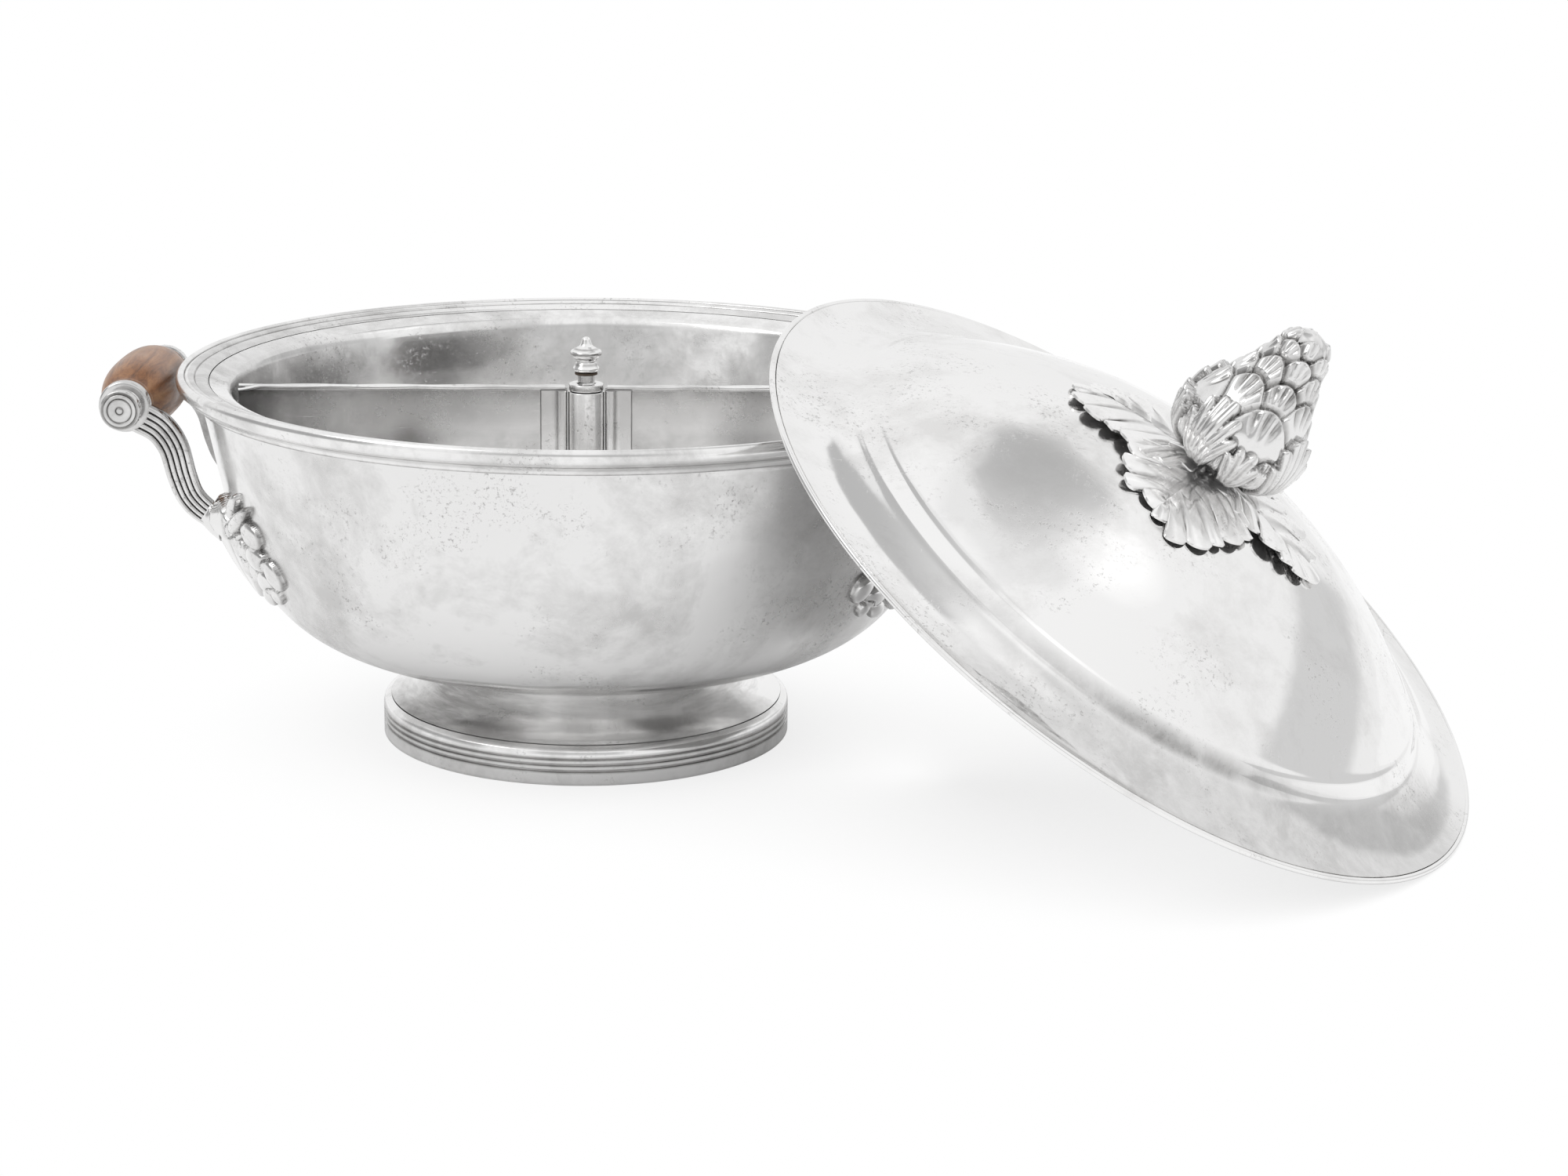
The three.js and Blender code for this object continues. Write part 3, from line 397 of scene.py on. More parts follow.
# Materials
class Nodes:
    """Short forms for building the node tree of a material or of the room."""

    def __init__(self, owner):
        owner.use_nodes = True
        self.owner = owner
        self.tree = owner.node_tree
        self.tree.nodes.clear()

    def add(self, kind, links=None, **values):
        node = self.tree.nodes.new(kind)
        for key, value in values.items():
            if hasattr(node, key):
                setattr(node, key, value)
            else:
                node.inputs[key.replace("_", " ")].default_value = value
        for key, source in (links or {}).items():
            self.tree.links.new(source, node.inputs[key])
        return node

    def fill(self, socket, value):
        """Links a socket to another node's output, or sets its colour or number."""
        if isinstance(value, bpy.types.NodeSocket):
            self.tree.links.new(value, socket)
        elif isinstance(value, tuple):
            socket.default_value = (*value, 1)
        else:
            socket.default_value = value

    def coordinates(self):
        return self.add("ShaderNodeTexCoord").outputs["Object"]

    def noise(self, vector, scale, detail=4, roughness=0.55, distortion=0):
        node = self.add("ShaderNodeTexNoise", {"Vector": vector}, Scale=scale, Detail=detail)
        node.inputs["Roughness"].default_value = roughness
        node.inputs["Distortion"].default_value = distortion
        return node.outputs["Fac"]

    def stretched(self, vector, scale, rotation=(0, 0, 0)):
        node = self.add("ShaderNodeMapping", {"Vector": vector}, Scale=scale, Rotation=rotation)
        return node.outputs["Vector"]

    def span(self, value, low, high, to_low=0.0, to_high=1.0):
        """Turns one span of values into another and stops at its ends."""
        node = self.add("ShaderNodeMapRange", {"Value": value})
        for key, number in (("From Min", low), ("From Max", high), ("To Min", to_low), ("To Max", to_high)):
            node.inputs[key].default_value = number
        return node.outputs["Result"]

    def ramp(self, value, *stops):
        node = self.add("ShaderNodeValToRGB", {"Fac": value})
        elements = node.color_ramp.elements
        while len(elements) < len(stops):
            elements.new(0.5)
        for element, (place, colour) in zip(elements, stops):
            element.position = place
            element.color = (*colour, 1)
        return node.outputs["Color"]

    def mix(self, factor, a, b):
        node = self.add("ShaderNodeMix", data_type="RGBA", blend_type="MIX")
        for socket, value in ((0, factor), (6, a), (7, b)):
            self.fill(node.inputs[socket], value)
        return node.outputs[2]

    def calc(self, operation, a, b):
        node = self.add("ShaderNodeMath", operation=operation)
        self.fill(node.inputs[0], a)
        self.fill(node.inputs[1], b)
        return node.outputs[0]

    def plus(self, a, b):
        return self.calc("ADD", a, b)

    def minus(self, a, b):
        return self.calc("SUBTRACT", a, b)

    def times(self, a, b):
        return self.calc("MULTIPLY", a, b)

    def larger(self, a, b):
        return self.calc("MAXIMUM", a, b)

    def smaller(self, a, b):
        return self.calc("MINIMUM", a, b)

    def bump(self, height, distance, strength=1.0, normal=None):
        links = {"Height": height}
        if normal is not None:
            links["Normal"] = normal
        node = self.add("ShaderNodeBump", links)
        node.inputs["Distance"].default_value = distance
        node.inputs["Strength"].default_value = strength
        return node.outputs["Normal"]

    def surface(self, links, **values):
        shader = self.add("ShaderNodeBsdfPrincipled")
        for key, value in values.items():
            shader.inputs[key.replace("_", " ")].default_value = value
        for key, source in links.items():
            self.tree.links.new(source, shader.inputs[key])
        output = self.add("ShaderNodeOutputMaterial")
        self.tree.links.new(shader.outputs[0], output.inputs["Surface"])
        return self.owner

    def dot(self, vector, direction):
        node = self.add("ShaderNodeVectorMath", {0: vector}, operation="DOT_PRODUCT")
        node.inputs[1].default_value = direction
        return node.outputs["Value"]

    def inside(self, vector, corners, soft):
        """1 where the direction lies between the corners, easing to 0 over their edges."""
        ways = [toward(*corner) for corner in corners]
        middle = sum(ways, Vector()).normalized()
        share = None
        for a, b in zip(ways, ways[1:] + ways[:1]):
            edge = a.cross(b).normalized()
            if edge.dot(middle) < 0:
                edge = -edge
            within = self.span(self.dot(vector, edge), -soft, soft)
            share = within if share is None else self.smaller(share, within)
        return share


def toward(azimuth, elevation):
    """Direction in the room from its azimuth, counted from +X, and elevation in degrees."""
    a, e = math.radians(azimuth), math.radians(elevation)
    return Vector((math.cos(e) * math.cos(a), math.cos(e) * math.sin(a), math.sin(e)))


def grey(value, warmth=0.0):
    return (value * (1 + warmth), value, value * (1 - warmth))


# Heights of the silver's wobble, ripple, hairlines and pits, in metres, and how near a crevice the painted
# shade lies
WOBBLE_HEIGHT = 0.0009
RIPPLE_HEIGHT = 0.00012
HAIR_HEIGHT = 0.000012
PIT_HEIGHT = 0.00003
CREVICE_SHADE_REACH = 0.0022
# Grey that stains, tarnish and dirt darken the silver to, and also the painted shade in grooves, hollows and
# crevices
DIRT_AND_SHADE = 0.17
HAIR_GRAIN = (30, 900, 900)
HAIR_LEAN = (0.2, 0.1, 0.5)
CROSS_GRAIN = (1100, 40, 900)
CROSS_LEAN = (0.3, 0.4, 0.2)


def silver_material(
    name, bright, dull, cloud=0.6, gloss=0.15, haze=0.32, wobble=1.0, crevice=0.0, scratch=1.0, seed=0.0,
    streak=(1, 1, 1), metal=1.0,
):
    """Old silver: cloudy tarnish over a bright ground, hairlines, pits and a hand-raised wobble, darkened by
    stains and painted shade.
    """
    n = Nodes(bpy.data.materials.new(name))
    shift = (seed, seed * 0.7, seed * 1.3)
    place = n.add("ShaderNodeMapping", {"Vector": n.coordinates()}, Location=shift).outputs["Vector"]
    drawn = n.stretched(place, streak)
    clouds = n.noise(drawn, scale=17, detail=6, roughness=0.62, distortion=0.6)
    fine = n.noise(drawn, scale=75, detail=6, roughness=0.7, distortion=0.3)
    mottled = n.plus(n.times(clouds, 0.68), n.times(fine, 0.32))
    tarnish = n.span(mottled, 0.53 - 0.1 * cloud, 0.64)
    specks = n.span(n.noise(place, scale=620, detail=3, roughness=0.8), 0.56, 0.68)
    patches = n.span(n.noise(place, scale=31, detail=4, roughness=0.6), 0.5, 0.62)
    pits = n.times(specks, patches)
    brushed = n.noise(n.stretched(place, HAIR_GRAIN, HAIR_LEAN), scale=1, detail=3, roughness=0.7)
    crossed = n.noise(n.stretched(place, CROSS_GRAIN, CROSS_LEAN), scale=1, detail=3, roughness=0.7)
    hairs = n.span(n.larger(brushed, crossed), 0.66, 0.78)
    colour = n.mix(tarnish, grey(bright, 0.004), grey(dull, 0.008))
    colour = n.mix(n.times(pits, 0.7), colour, grey(dull * 0.5, 0.02))
    # The recess attribute carries stains and tarnish, and painted shade in grooves and hollows; crevice
    # paints shade where ambient occlusion finds a hollow
    recess = n.add("ShaderNodeAttribute", attribute_name="recess").outputs["Fac"]
    dark = n.times(n.span(recess, 0.05, 0.95), n.span(fine, 0.35, 0.62, 0.55, 1.0))
    if crevice:
        hollow = n.add("ShaderNodeAmbientOcclusion", samples=12, Distance=CREVICE_SHADE_REACH)
        dark = n.larger(dark, n.span(hollow.outputs["AO"], 0.2, 0.8, crevice, 0.0))
    colour = n.mix(dark, colour, grey(DIRT_AND_SHADE, 0.03))
    rough = n.plus(n.span(tarnish, 0, 1, gloss, haze), n.times(hairs, 0.10 * scratch))
    rough = n.plus(rough, n.times(pits, 0.2))
    wave = n.noise(place, scale=22, detail=2, roughness=0.45)
    ripple = n.noise(place, scale=70, detail=2, roughness=0.5)
    normal = n.bump(wave, WOBBLE_HEIGHT * wobble)
    normal = n.bump(ripple, RIPPLE_HEIGHT * wobble, normal=normal)
    normal = n.bump(n.times(hairs, -1), HAIR_HEIGHT * scratch, normal=normal)
    normal = n.bump(n.times(pits, -1), PIT_HEIGHT, normal=normal)
    return n.surface({"Base Color": colour, "Roughness": rough, "Normal": normal}, Metallic=metal)


WOOD_DARK = (0.105, 0.042, 0.018)
WOOD_MID = (0.27, 0.115, 0.045)
WOOD_LIGHT = (0.42, 0.205, 0.085)
WOOD_PORE = (0.07, 0.03, 0.015)
WOOD_WORN = (0.36, 0.22, 0.13)
WOOD_GRIME_AND_SHADE = (0.05, 0.03, 0.022)
GRIME_AND_SHADE_REACH = 0.008
PORE_HEIGHT = 0.00012
GRAIN_HEIGHT = 0.0002
LEATHER_DARK = (0.05, 0.035, 0.025)
LEATHER_LIGHT = (0.12, 0.085, 0.06)
LEATHER_HEIGHT = 0.0001


def wood_material():
    """Waxed hardwood with its grain along the grip, darker with grime and painted shade where it was turned
    in, and worn.
    """
    n = Nodes(bpy.data.materials.new("grip_wood"))
    place = n.coordinates()
    grain = n.noise(n.stretched(place, (230, 230, 26)), scale=1, detail=6, roughness=0.65, distortion=1.2)
    streaks = n.noise(n.stretched(place, (900, 900, 60)), scale=1, detail=4, roughness=0.7)
    wear = n.noise(place, scale=55, detail=5, roughness=0.6, distortion=0.4)
    colour = n.ramp(grain, (0.3, WOOD_DARK), (0.5, WOOD_MID), (0.72, WOOD_LIGHT))
    colour = n.mix(n.span(streaks, 0.5, 0.75, 0, 0.5), colour, WOOD_PORE)
    colour = n.mix(n.span(wear, 0.5, 0.7, 0, 0.55), colour, WOOD_WORN)
    # Grime and painted shade where ambient occlusion finds a hollow
    hollow = n.add("ShaderNodeAmbientOcclusion", samples=12, Distance=GRIME_AND_SHADE_REACH)
    colour = n.mix(n.span(hollow.outputs["AO"], 0.3, 0.85, 0.8, 0.0), colour, WOOD_GRIME_AND_SHADE)
    rough = n.span(wear, 0.35, 0.7, 0.28, 0.5)
    normal = n.bump(streaks, PORE_HEIGHT)
    normal = n.bump(grain, GRAIN_HEIGHT, 0.6, normal)
    links = {"Base Color": colour, "Roughness": rough, "Normal": normal}
    return n.surface(links, Coat_Weight=0.25, Coat_Roughness=0.25)


def leather_material():
    n = Nodes(bpy.data.materials.new("washer_leather"))
    grain = n.noise(n.coordinates(), scale=900, detail=4, roughness=0.6)
    colour = n.mix(grain, LEATHER_DARK, LEATHER_LIGHT)
    return n.surface({"Base Color": colour, "Normal": n.bump(grain, LEATHER_HEIGHT)}, Roughness=0.8)


bowl_silver = silver_material("bowl_silver", bright=0.82, dull=0.62, scratch=1.2)
foot_silver = silver_material(
    "foot_silver", bright=0.93, dull=0.58, cloud=0.8, seed=6.1, streak=(0.6, 0.6, 5),
)
divider_silver = silver_material(
    "divider_silver", bright=0.97, dull=0.78, gloss=0.16, haze=0.36, crevice=0.5, scratch=1.4, seed=4.4,
)
liner_silver = silver_material(
    "liner_silver", bright=0.90, dull=0.62, gloss=0.16, haze=0.34, wobble=1.1, scratch=1.4, seed=3.1,
)
trim_silver = silver_material(
    "trim_silver", bright=0.88, dull=0.62, haze=0.30, wobble=0.5, crevice=0.6, seed=1.7,
)
cover_silver = silver_material(
    "cover_silver", bright=0.89, dull=0.76, cloud=0.4, gloss=0.07, haze=0.20, wobble=0.55,
    scratch=0.8, seed=5.3,
)
cast_silver = silver_material(
    "cast_silver", bright=0.82, dull=0.56, gloss=0.12, haze=0.26, wobble=0.3, crevice=0.5, seed=2.2,
)
leaf_silver = silver_material(
    "leaf_silver", bright=0.93, dull=0.78, cloud=0.5, gloss=0.14, haze=0.28, wobble=0.3, seed=7.9, metal=0.8,
)
wood = wood_material()
leather = leather_material()


# Dish body
BAND_FOOT = RIM_TOP - RIM_BAND
BOWL_CURVE_SHARES = [(0.913, 0.486), (0.927, 0)]
LINER_CURVE_SHARES = [(0.929, 0.503), (0.935, 0)]
RIM_OUTLINE_SHARES = [
    [(0.55, 1), (0.47, 0.83), (0.29, 0.67), (0.12, 0.55), (0.03, 0.41), (0, 0.24), (0.04, 0.08), (0.14, 0),
     (0.24, 0.04), (0.262, 0.134)],
    [(0.262, 0.134), (0.31, 0.09), (0.42, 0.07), (0.54, 0.11), (0.576, 0.196)],
    [(0.576, 0.196), (0.64, 0.165), (0.78, 0.175), (0.93, 0.24), (1, 0.31)],
]
# Spots of the rim's grooves, with dirt and painted shade in them, how far that reaches and how dark
RIM_GROOVE_SHARES = [(0.262, 0.134), (0.576, 0.196), (0.29, 0.67), (0.55, 1)]
RIM_GROOVE_REACH = 0.5
RIM_GROOVE_DARK = 0.8
RIM_FLAT_MARGIN = 2.5
LIP_TOP_SHARE = 0.33
LIP_EDGE_RISE = 0.25

# Tarnish on top of the rim and on the foot: azimuth of its middle, half span and how dark
RIM_TARNISH = (180, 50, 0.45)
FOOT_TARNISH = (-142, 27, 0.72)

# Stains inside the liner: azimuth and height of the middle, half spans, how dark, and how soft the edge is
LINER_STAINS = [
    (121.5, 122, 13.5, 7.2, 0.42, 0.12),
    (158, 122, 24, 14, 0.5, 0.5),
    (178, 110, 20, 30, 0.5, 0.5),
]


def bowl_curve(inset):
    (a, b), (c, d) = BOWL_CURVE_SHARES
    return bezier([
        (BOWL_TOP_RADIUS - inset, BAND_FOOT),
        (BOWL_TOP_RADIUS * a - inset, lerp(BOWL_BOTTOM, BAND_FOOT, b) + inset / 2),
        (BOWL_TOP_RADIUS * c - inset, lerp(BOWL_BOTTOM, BAND_FOOT, d) + inset),
        (FOOT_NECK, BOWL_BOTTOM + inset),
    ], steps=60)


def liner_curve():
    (a, b), (c, d) = LINER_CURVE_SHARES
    top = RIM_TOP - OPENING_DROP - LINER_INSET
    return bezier([
        (OPENING_RADIUS - LINER_INSET, top),
        (OPENING_RADIUS * a, lerp(LINER_FLOOR, top, b)),
        (OPENING_RADIUS * c, lerp(LINER_FLOOR, top, d)),
        (LINER_FLOOR_RADIUS, LINER_FLOOR),
    ], steps=48)


BOWL_WALL = bowl_curve(0)
LINER_WALL = liner_curve()


def bowl_at(height):
    """Radius of the bowl's outside at a height, and how fast it changes there."""
    for above, below in zip(BOWL_WALL, BOWL_WALL[1:]):
        if below[1] <= height:
            break
    slope = (above[0] - below[0]) / (above[1] - below[1])
    return below[0] + (height - below[1]) * slope, slope


def make_bowl():
    seat = RIM_TOP - RIM_SEAT - GAP
    outline = [(0, BOWL_BOTTOM), *BOWL_WALL[::-1], (BOWL_TOP_RADIUS, seat)]
    outline += [(BOWL_TOP_RADIUS - BOWL_SHEET, seat), *bowl_curve(BOWL_SHEET), (0, BOWL_BOTTOM + BOWL_SHEET)]
    dish_piece("bowl_body", turned(outline), "outer_bowl", bowl_silver)


def make_rim():
    def on_rim(shares):
        return [(RIM_RADIUS - a * RIM_WIDTH, RIM_TOP - d * RIM_BAND) for a, d in shares]

    outline = through(on_rim(stretch) for stretch in RIM_OUTLINE_SHARES)
    inner = RIM_RADIUS - RIM_WIDTH
    sleeve = BOWL_TOP_RADIUS + GAP
    seat = RIM_TOP - RIM_SEAT
    outline += [(inner, seat), (sleeve, seat), (sleeve, BAND_FOOT)]
    shape = turned(outline)
    flat = RIM_RADIUS - RIM_WIDTH * RIM_GROOVE_SHARES[1][0] + RIM_FLAT_MARGIN
    top = RIM_TOP - RIM_BAND / 2
    recess = grooves(shape[0], on_rim(RIM_GROOVE_SHARES), RIM_GROOVE_REACH, RIM_GROOVE_DARK)
    for i, (x, y, z) in enumerate(shape[0]):
        if math.hypot(x, y) < flat and z > top:
            recess[i] = max(recess[i], tarnished(x, y, RIM_TARNISH))
    dish_piece("rim_band", shape, "rim_moulding", trim_silver, sharp=28, recess=recess)


def stained(x, y, z):
    """Darkness of the liner's stains at a point."""
    azimuth = math.degrees(math.atan2(y, x)) % 360
    dark = 0
    for middle, height, wide, tall, depth, soft in LINER_STAINS:
        away = math.hypot((azimuth - middle) / wide, (z - height) / tall)
        dark = max(dark, depth * smoothstep(1 + soft, 1 - soft, away))
    return dark


def make_liner():
    lip = RIM_RADIUS - RIM_WIDTH - GAP
    lip_top = RIM_TOP - RIM_BAND * LIP_TOP_SHARE
    hole = TUBE_RADIUS + GAP
    brink = RIM_TOP - OPENING_DROP
    under = LINER_FLOOR - LINER_SHEET
    edge = [(OPENING_RADIUS + LINER_INSET, brink + LIP_EDGE_RISE), (OPENING_RADIUS, brink), LINER_WALL[0]]
    outside = [(r + LINER_SHEET, z - LINER_SHEET / 2) for r, z in LINER_WALL[:-1]]
    outline = [(lip, lip_top), *spline(edge, 4), *LINER_WALL[1:], (hole, LINER_FLOOR), (hole, under)]
    outline += [(LINER_FLOOR_RADIUS + LINER_SHEET, under), *outside[::-1], (lip, lip_top - LINER_SHEET)]
    shape = turned(outline)
    dish_piece("liner_well", shape, "liner", liner_silver, recess=[stained(*point) for point in shape[0]])


# Foot
BASE_REED_SHARES = [
    [(0, 0), (0, 0.34)],
    [(0, 0.34), (0.009, 0.36), (0.009, 0.38), (0, 0.4)],
    [(0, 0.4), (0, 0.45), (0, 0.5)],
    [(0, 0.5), (0.009, 0.52), (0.009, 0.54), (0, 0.56)],
    [(0, 0.56), (0, 0.66)],
    [(0, 0.66), (0.008, 0.68), (0, 0.71)],
    [(0, 0.71), (0.001, 0.8), (0.009, 0.91), (0.034, 1)],
]
# Heights of the base ring's grooves, with dirt and painted shade in them, and how far that reaches
BASE_GROOVE_SHARES = (0.34, 0.4, 0.5, 0.56, 0.66, 0.71)
BASE_GROOVE_REACH = 0.32
SPOOL_SHARES = [
    (1, 0), (0.8, 0.06), (0.6, 0.16), (0.38, 0.33), (0.2, 0.55), (0.08, 0.8), (0.05, 0.93), (0.1, 1),
]
# How dark the dirt and painted shade in the trim's turned grooves are
TRIM_GROOVE_DARK = 0.75


def make_foot():
    reeds = [[(FOOT_RADIUS * (1 - a), FOOT_RING_TOP * u) for a, u in stretch] for stretch in BASE_REED_SHARES]
    ledge = FOOT_RADIUS - (FOOT_RING_TOP - FOOT_BAND)
    inner = ledge - FOOT_SHEET
    ring = turned([*through(reeds, 5), (inner, FOOT_RING_TOP), (inner, 0)])
    spots = [(FOOT_RADIUS, FOOT_RING_TOP * u) for u in BASE_GROOVE_SHARES]
    recess = grooves(ring[0], spots, BASE_GROOVE_REACH, TRIM_GROOVE_DARK)
    dish_piece("foot_reeded_ring", ring, "foot_base_ring", trim_silver, sharp=30, recess=recess)
    low = FOOT_RING_TOP + GAP
    high = BOWL_BOTTOM - GAP
    neck = FOOT_NECK - FOOT_SHEET
    outside = spline([(lerp(neck, ledge + GAP, o), lerp(low, high, u)) for o, u in SPOOL_SHARES])
    inside = [(r - FOOT_SHEET, z) for r, z in outside][::-1]
    spool = turned(outside + inside)
    recess = [tarnished(x, y, FOOT_TARNISH) for x, y, z in spool[0]]
    dish_piece("foot_cavetto", spool, "foot_spool", foot_silver, recess=recess)


# Filler tube with its collar, and the screw plug in it
TUBE_FOOT = 41.7
COLLAR_RADIUS = 6.4
COLLAR_BORE = 3.4
COLLAR_FOOT = 124.1
COLLAR_TOP = 132.2
PIPE_ROUND = 0.35
COLLAR_ROUND = 0.5
SHANK_RADIUS = 3.15
SHANK_FOOT = 124.3
SHANK_TOP = 141.6
THREAD_PITCH = 2
THREAD_DEPTH = 0.4
THREAD_TOP = 132.6
THREAD_STEPS = 90
WASHER = [(3.4, 135.5), (4.2, 135.5), (4.2, 136.3), (3.4, 136.3)]
WASHER_ROUND = 0.2
KNOB_BORE = 3.45
KNOB_BLIND = 141.9
KNOB = [
    [(4.1, 136.6), (4.6, 137.1), (4.95, 137.8), (4.6, 138.6), (4.2, 139.5)],
    [(4.2, 139.5), (3.75, 140.5), (4.2, 141.6)],
    [(4.2, 141.6), (5.4, 142.3), (5.9, 143.5)],
    [(5.9, 143.5), (5.6, 144.4), (4.2, 145.2)],
    [(4.2, 145.2), (2.9, 145.9), (2.2, 146.7), (1.8, 147.8), (1.5, 148.8), (0.9, 149.4), (0, 149.6)],
]
# How far dirt and painted shade reach from a turned groove
TURNING_GROOVE_REACH = 0.6


def make_tube():
    bore = TUBE_RADIUS - TUBE_WALL
    pipe = [(bore, TUBE_FOOT), (TUBE_RADIUS, TUBE_FOOT), (TUBE_RADIUS, TUBE_TOP), (bore, TUBE_TOP)]
    tube = turned(rounded(pipe, PIPE_ROUND), SMALL_SEGMENTS)
    dish_piece("filler_pipe", tube, "filler_tube", divider_silver)
    flange = TUBE_TOP + GAP
    spigot = bore - GAP
    outline = [(COLLAR_BORE, COLLAR_FOOT), (spigot, COLLAR_FOOT), (spigot, flange), (COLLAR_RADIUS, flange)]
    outline += [(COLLAR_RADIUS, COLLAR_TOP), (COLLAR_BORE, COLLAR_TOP)]
    collar = turned(rounded(outline, COLLAR_ROUND), SMALL_SEGMENTS)
    dish_piece("pipe_collar", collar, "tube_collar", trim_silver)


def threaded(angle, radius, height):
    """Pushes the shank's skin in and out along a screw thread."""
    if radius < SHANK_RADIUS - THREAD_DEPTH or height > THREAD_TOP:
        return radius, height
    phase = (height / THREAD_PITCH - angle / TURN) % 1
    return radius - THREAD_DEPTH * (1 - abs(2 * phase - 1)), height


def make_plug():
    bore = [(0, KNOB_BLIND), (KNOB_BORE, KNOB_BLIND), (KNOB_BORE, KNOB[0][0][1])]
    knob = turned([*bore, *through(KNOB, 4)], SMALL_SEGMENTS)
    recess = grooves(knob[0], [stretch[-1] for stretch in KNOB[:-1]], TURNING_GROOVE_REACH, TRIM_GROOVE_DARK)
    new_piece("knob_turned", knob, ["plug_knob"], "plug", "silver", trim_silver, DISH, recess=recess)
    side = [(SHANK_RADIUS, lerp(SHANK_FOOT, SHANK_TOP, i / THREAD_STEPS)) for i in range(THREAD_STEPS + 1)]
    shank = turned([(0, SHANK_FOOT), *side, (0, SHANK_TOP)], SMALL_SEGMENTS, threaded)
    new_piece("shank_threaded", shank, ["plug_shank"], "plug", "cast_silver", cast_silver, DISH)
    washer = turned(rounded(WASHER, WASHER_ROUND), SMALL_SEGMENTS)
    new_piece("washer_ring", washer, ["plug_washer"], "plug_washer", "leather", leather, DISH)


# Divider: two wings turned a little from the handles' line, each with a beaded rail and channels
DIVIDER_TURN = math.radians(4.5)
WING_THICK = 1.2
WING_TOP = TUBE_TOP + GAP
WING_ROWS = 24
WING_COLUMNS = 60
WALL_FACETS = 40
FACET_SHARE = math.cos(math.pi / WALL_FACETS)
RAIL_BEAD = 0.76
RAIL_APART = 0.74
RAIL_LIFT = 1.05
RAIL_STEPS = 60
RAIL_SIDES = 14
RAIL_SAG = 0.12
RAIL_WAVE = 0.21
SPLAY_START = 11
SPLAY_END = 1
SPLAY_OUT = 0.9
SPLAY_DROP = 1.3
STRIP_SHORT = 4
CHANNEL_BEAD = 2
CHANNEL_BEAD_STEPS = 16
STRAP_WIDTH = 6
STRAP_THICK = 0.9
STRAP_STEPS = 6
STRAP_EDGE = 0.5
STRAP_EDGE_SHARE = 0.4
CHANNEL_LINE_DARK = 0.75
CHANNEL_LINE = 0.2

# Darkening of the wings towards the wall, tarnish under the rail, and darkening towards the bottom: where
# each starts, where it is full, and how dark
WALL_DARKENING = (78, 118, 0.48)
RAIL_STAIN = (5.5, 0.5, 0.5)
LOW_DARKENING = (117, 110, 0.3)


def bar(path, radius):
    """A round bar along a path of points that runs mostly along X."""
    sections = []
    for i, centre in enumerate(path):
        before, after = Vector(path[max(0, i - 1)]), Vector(path[min(len(path) - 1, i + 1)])
        run = (after - before).normalized()
        side = run.cross(Vector((0, 0, 1))).normalized()
        over = side.cross(run)
        ring = []
        for k in range(RAIL_SIDES):
            angle = TURN * k / RAIL_SIDES
            ring.append(tuple(Vector(centre) + radius * (math.cos(angle) * side + math.sin(angle) * over)))
        sections.append(ring)
    return swept(sections)


def darkening_at(marks, x):
    start, full, dark = marks
    return dark * smoothstep(start, full, x)


def make_wing(name, node, place):
    start = TUBE_RADIUS + GAP
    wall = [(z + GAP, r * FACET_SHARE - GAP) for r, z in LINER_WALL[::3] if z + GAP < WING_TOP][::-1]
    half = WING_THICK / 2

    def plate_at(row, column, side):
        z = lerp(LINER_FLOOR + GAP, WING_TOP, row)
        return lerp(start, table_at(wall, z), column), half if side else -half, z

    plate = grid_shell(WING_ROWS, WING_COLUMNS, plate_at)
    recess = []
    # Darker towards the wall and towards the bottom, with tarnish under the rail
    for x, y, z in plate[0]:
        recess.append(darkening_at(WALL_DARKENING, x) + darkening_at(RAIL_STAIN, WING_TOP - z) + darkening_at(LOW_DARKENING, z))
    dish_piece(name, plate, node, divider_silver, place, recess=recess)


def make_rail(name, node, place, front):
    start = TUBE_RADIUS + GAP
    end = (OPENING_RADIUS - LINER_INSET) * FACET_SHARE - GAP
    beads = []
    for side in (-1, 1):
        path = []
        for i in range(RAIL_STEPS + 1):
            x = lerp(start + RAIL_BEAD, end - RAIL_BEAD * 2, i / RAIL_STEPS)
            splay = smoothstep(end - SPLAY_START, end - SPLAY_END, x) if side == front else 0
            sag = RAIL_SAG * math.sin(x * RAIL_WAVE + side)
            z = WING_TOP + RAIL_LIFT - splay * SPLAY_DROP + sag
            path.append((x, side * (RAIL_APART + splay * SPLAY_OUT), z))
        beads.append(bar(path, RAIL_BEAD))
    half = RAIL_APART
    stop = end - STRIP_SHORT
    strip = [(start, -half), (stop, -half), (stop, half), (start, half)]
    base = extruded(strip, WING_TOP - GAP, WING_TOP + RAIL_LIFT)
    dish_piece(name, merged(*beads, base), node, trim_silver, place)


def make_channel(name, node, place, side):
    face = WING_THICK / 2
    start = TUBE_RADIUS + GAP
    centre = start + CHANNEL_BEAD
    foot = centre + CHANNEL_BEAD
    end = foot + STRAP_WIDTH
    top = face + STRAP_THICK
    bead = []
    for i in range(CHANNEL_BEAD_STEPS + 1):
        angle = math.pi * (1 - i / CHANNEL_BEAD_STEPS)
        bead.append((centre + CHANNEL_BEAD * math.cos(angle), face + CHANNEL_BEAD * math.sin(angle)))
    bead = [point for point in bead if point[0] < centre or point[1] > top]
    strap = [(lerp(foot, end - STRAP_EDGE, i / STRAP_STEPS), top) for i in range(1, STRAP_STEPS + 1)]
    outline = bead + strap + [(end, face + STRAP_THICK * STRAP_EDGE_SHARE), (end, face)]
    strip = extruded([(x, side * y) for x, y in outline], LINER_FLOOR + GAP, WING_TOP)
    recess = []
    for x, y, z in strip[0]:
        line = x < start + CHANNEL_LINE or abs(x - foot) < STRAP_EDGE or x > end - CHANNEL_LINE
        recess.append(CHANNEL_LINE_DARK if line else 0)
    dish_piece(name, strip, node, divider_silver, place, recess=recess)


